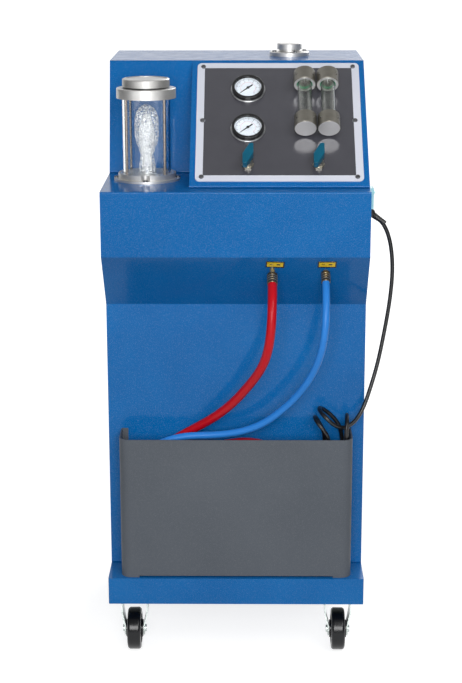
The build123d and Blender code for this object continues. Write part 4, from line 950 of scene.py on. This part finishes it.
def gauge_ring(name, joint):
    """A thin steel ring where the gauge's bezel meets the panel."""
    inner, outer, low, high, soft = 28.25 * MM, 30.0 * MM, 0.1 * MM, 2.2 * MM, 0.7 * MM
    needle_height = 3.8 * MM
    matrix = gauge_matrix(joint)
    matrix.translation -= panel_out * needle_height
    outline = ring_outline(inner, outer, low, high, soft)
    sharpen(piece(name, lathe(name, outline, matrix, sides=96), "steel"))


for gauge in ("new_gauge", "old_gauge"):
    dial_marks(f"{gauge}_dial", f"{gauge}_needle_swing")
    dial_numbers(f"{gauge}_dial", f"{gauge}_needle_swing")
    gauge_ring(f"{gauge}_ring", f"{gauge}_needle_swing")


# Black borders on the yellow labels, with a thin and a thick bar inside: left, right, half width
label_drop, label_thickness = 18 * MM, 0.8 * MM
red_label_shift, blue_label_shift = 4.8 * MM, 2 * MM
label_bars = [(-9 * MM, -3 * MM, 0.7 * MM), (2.5 * MM, 8.5 * MM, 1.3 * MM)]


def label_border(name, across, tilt):
    half_x, half_y, wide, thick = 15.8 * MM, 7.8 * MM, 2.2 * MM, 0.12 * MM
    middle = on_slant(across, label_drop, label_thickness)
    turn = Matrix.Rotation(math.radians(tilt), 4, "Z")
    matrix = basis(slant_across, slant_rise, slant_out, middle) @ turn
    points, faces = [], []
    for sign in (-1, 1):
        low, high = sorted((sign * half_y, sign * (half_y - wide)))
        block((-half_x, low, 0), (half_x, high, thick), matrix, points, faces)
        low, high = sorted((sign * half_x, sign * (half_x - wide)))
        block((low, -half_y + wide, 0), (high, half_y - wide, thick), matrix, points, faces)
    for left, right, half in label_bars:
        block((left, -half, 0), (right, half, thick), matrix, points, faces)
    piece(name, mesh_of(name, points, faces), "gloss_black", smooth=False)


label_border("red_label_border", red_fitting[0] + red_label_shift, tilt=-3)
label_border("blue_label_border", blue_fitting[0] + blue_label_shift, tilt=0)


# Louvre hoods over the slots of the rear panel
louvre_height, louvre_pitch, louvre_rows = 5 * MM, 14 * MM, 6
louvre_spread, louvre_top_drop = 60 * MM, 48 * MM
hood_half_length, hood_reach, hood_sheet = 31 * MM, 4.5 * MM, 0.9 * MM
hood_root_high, hood_root_low = 1.5 * MM, 0.6 * MM
hood_fall_share = 0.9
hood_segments = 8


def hood_face(reach, root):
    """Out and up of a quarter arc, from its root above the slot to its tip."""
    fall = louvre_height * hood_fall_share
    angles = [math.pi / 2 * i / hood_segments for i in range(hood_segments + 1)]
    top = louvre_height / 2 + root
    return [(reach * math.sin(angle), top - fall * (1 - math.cos(angle))) for angle in angles]


def add_hood(x, y, z, points, faces):
    section = hood_face(hood_reach, hood_root_high)
    section += reversed(hood_face(hood_reach - hood_sheet, hood_root_low))
    start, count = len(points), len(section)
    for end in (-hood_half_length, hood_half_length):
        points += [(x + end, y + out, z + up) for out, up in section]
    for i in range(count):
        after = (i + 1) % count
        faces.append((start + i, start + after, start + count + after, start + count + i))
    faces.append(tuple(start + i for i in range(count)))
    faces.append(tuple(start + count + i for i in reversed(range(count))))


def louvre_hoods():
    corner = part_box("rear_panel")[1]
    points, faces = [], []
    for sign in (-1, 1):
        for row in range(louvre_rows):
            z = corner.z - louvre_top_drop - row * louvre_pitch
            add_hood(sign * louvre_spread, corner.y, z, points, faces)
    sharpen(piece("louvre_hoods", mesh_of("louvre_hoods", points, faces), "blue_paint"))


louvre_hoods()


# Camera, fitted to the photograph: turns in radians, and the focal length in the photograph's pixels
photo_height = 683
focal_pixels = 1653.4
pitch_down, yaw, roll = 0.2567, -0.0119, -0.002
camera_place = Vector((0.0244, -2.9416, 1.2911))


def make_camera():
    sensor = 36
    data = bpy.data.cameras.new("camera")
    data.sensor_width = sensor
    data.lens = focal_pixels * sensor / photo_height
    ahead = Vector((
        math.sin(yaw) * math.cos(pitch_down), math.cos(yaw) * math.cos(pitch_down), -math.sin(pitch_down)
    ))
    right = Vector((math.cos(yaw), -math.sin(yaw), 0))
    down = ahead.cross(right)
    image_right = right * math.cos(roll) - down * math.sin(roll)
    image_down = right * math.sin(roll) + down * math.cos(roll)
    item = bpy.data.objects.new("camera", data)
    bpy.context.scene.collection.objects.link(item)
    item.matrix_world = basis(image_right, -image_down, -ahead, camera_place)
    bpy.context.scene.camera = item


# Stage and light. The floor's glow: a share of its reach, and the tone there.
sky_tint, sky_strength = (0.96, 0.98, 1, 1), 0.36
floor_reach, floor_sides = 30, 64
floor_tone, floor_seen_tone = 0.24, 0.5
floor_glow_near, floor_glow_far = (0.04, 0.78), (0.2, 0.98)
screen_distance = 2.4

# Places and sizes in metres, power in watts
lamps = {
    "front": dict(place=(0.02, -3.15, 1.42), aim=(0, 0, 0.75), width=1.3, height=1.1, power=52),
    "key": dict(place=(1.3, -2.5, 2.5), aim=(0, 0, 0.6), width=1.2, height=1.2, power=24),
    "fill": dict(place=(-1.7, -2.3, 1.4), aim=(0, 0, 0.6), width=1.2, height=1.6, power=5),
    "rear": dict(place=(1.2, 3.2, 2.4), aim=(0, 0, 0.6), width=1.6, height=1.8, power=60),
}


def softbox(name, place, aim, width, height, power):
    data = bpy.data.lights.new(name, "AREA")
    data.shape = "RECTANGLE"
    data.size = width
    data.size_y = height
    data.energy = power
    item = bpy.data.objects.new(name, data)
    bpy.context.scene.collection.objects.link(item)
    item.location = place
    item.rotation_euler = (Vector(aim) - Vector(place)).to_track_quat("-Z", "Y").to_euler()
    item.visible_camera = False


def seen_by_eye(tree):
    """1 for camera, mirror and see-through rays, else 0."""
    path = tree.nodes.new("ShaderNodeLightPath")
    total = path.outputs["Is Camera Ray"]
    for other in ("Is Glossy Ray", "Is Transmission Ray"):
        node = tree.nodes.new("ShaderNodeMath")
        node.operation = "MAXIMUM"
        tree.links.new(total, node.inputs[0])
        tree.links.new(path.outputs[other], node.inputs[1])
        total = node.outputs[0]
    return total


def studio_shade(tree):
    """White behind the object and dimmer in front and above, for mirror rays alone."""
    coords = tree.nodes.new("ShaderNodeTexCoord")
    split = tree.nodes.new("ShaderNodeSeparateXYZ")
    tree.links.new(coords.outputs["Generated"], split.inputs["Vector"])
    shade = ramp(tree, split.outputs["Y"], [(0.0, grey(0.25)), (0.25, grey(1))])
    path = tree.nodes.new("ShaderNodeLightPath")
    return mixed(tree, path.outputs["Is Glossy Ray"], grey(1), shade)


def make_world():
    world = bpy.data.worlds.new("studio")
    bpy.context.scene.world = world
    world.use_nodes = True
    tree = world.node_tree
    tree.nodes.clear()
    seen = tree.nodes.new("ShaderNodeBackground")
    tree.links.new(studio_shade(tree), seen.inputs["Color"])
    seen.inputs["Strength"].default_value = 1
    lit = tree.nodes.new("ShaderNodeBackground")
    lit.inputs["Color"].default_value = sky_tint
    lit.inputs["Strength"].default_value = sky_strength
    mix = tree.nodes.new("ShaderNodeMixShader")
    output = tree.nodes.new("ShaderNodeOutputWorld")
    tree.links.new(seen_by_eye(tree), mix.inputs["Fac"])
    tree.links.new(lit.outputs["Background"], mix.inputs[1])
    tree.links.new(seen.outputs["Background"], mix.inputs[2])
    tree.links.new(mix.outputs["Shader"], output.inputs["Surface"])


def diffuse(tree, tone):
    node = tree.nodes.new("ShaderNodeBsdfDiffuse")
    node.inputs["Color"].default_value = grey(tone)
    return node.outputs["BSDF"]


def floor_glow(tree):
    """A glow that whitens with the distance from the object, so that the floor's edge is lost."""
    coords = tree.nodes.new("ShaderNodeTexCoord")
    away = tree.nodes.new("ShaderNodeVectorMath")
    away.operation = "LENGTH"
    tree.links.new(coords.outputs["Object"], away.inputs[0])
    share = tree.nodes.new("ShaderNodeMath")
    share.operation = "DIVIDE"
    share.inputs[1].default_value = floor_reach
    tree.links.new(away.outputs["Value"], share.inputs[0])
    stops = [(place, grey(tone)) for place, tone in (floor_glow_near, floor_glow_far)]
    glow = tree.nodes.new("ShaderNodeEmission")
    glow.inputs["Strength"].default_value = 1
    tree.links.new(ramp(tree, share.outputs[0], stops), glow.inputs["Color"])
    return glow.outputs["Emission"]


def floor_material():
    """Plain to the light that falls on the object, and near white, with a shadow, to the eye."""
    material = bpy.data.materials.new("floor")
    material.use_nodes = True
    tree = material.node_tree
    tree.nodes.clear()
    both = tree.nodes.new("ShaderNodeAddShader")
    mix = tree.nodes.new("ShaderNodeMixShader")
    output = tree.nodes.new("ShaderNodeOutputMaterial")
    tree.links.new(diffuse(tree, floor_seen_tone), both.inputs[0])
    tree.links.new(floor_glow(tree), both.inputs[1])
    tree.links.new(seen_by_eye(tree), mix.inputs["Fac"])
    tree.links.new(diffuse(tree, floor_tone), mix.inputs[1])
    tree.links.new(both.outputs["Shader"], mix.inputs[2])
    tree.links.new(mix.outputs["Shader"], output.inputs["Surface"])
    return material


def make_floor():
    turns = [2 * math.pi * i / floor_sides for i in range(floor_sides)]
    points = [(floor_reach * math.cos(turn), floor_reach * math.sin(turn), 0) for turn in turns]
    mesh = bpy.data.meshes.new("floor")
    mesh.from_pydata(points, [], [tuple(range(floor_sides))])
    mesh.materials.append(floor_material())
    item = bpy.data.objects.new("floor", mesh)
    bpy.context.scene.collection.objects.link(item)


def side_screen(name, x):
    """A dark studio screen that only mirrors see."""
    near, far, tall = -1.6, 1.6, 2.6
    tone, roughness = 0.12, 0.9
    mesh = bpy.data.meshes.new(name)
    mesh.from_pydata([(x, near, 0), (x, far, 0), (x, far, tall), (x, near, tall)], [], [(0, 1, 2, 3)])
    material = bpy.data.materials.new(name)
    material.use_nodes = True
    shader = material.node_tree.nodes["Principled BSDF"]
    shader.inputs["Base Color"].default_value = grey(tone)
    shader.inputs["Roughness"].default_value = roughness
    mesh.materials.append(material)
    item = bpy.data.objects.new(name, mesh)
    bpy.context.scene.collection.objects.link(item)
    item.visible_camera = False
    item.visible_diffuse = False
    item.visible_shadow = False
    item.visible_transmission = False


make_camera()
make_world()
make_floor()
for name, settings in lamps.items():
    softbox(name, **settings)
side_screen("left_screen", -screen_distance)
side_screen("right_screen", screen_distance)
bpy.context.scene.view_settings.view_transform = "Standard"
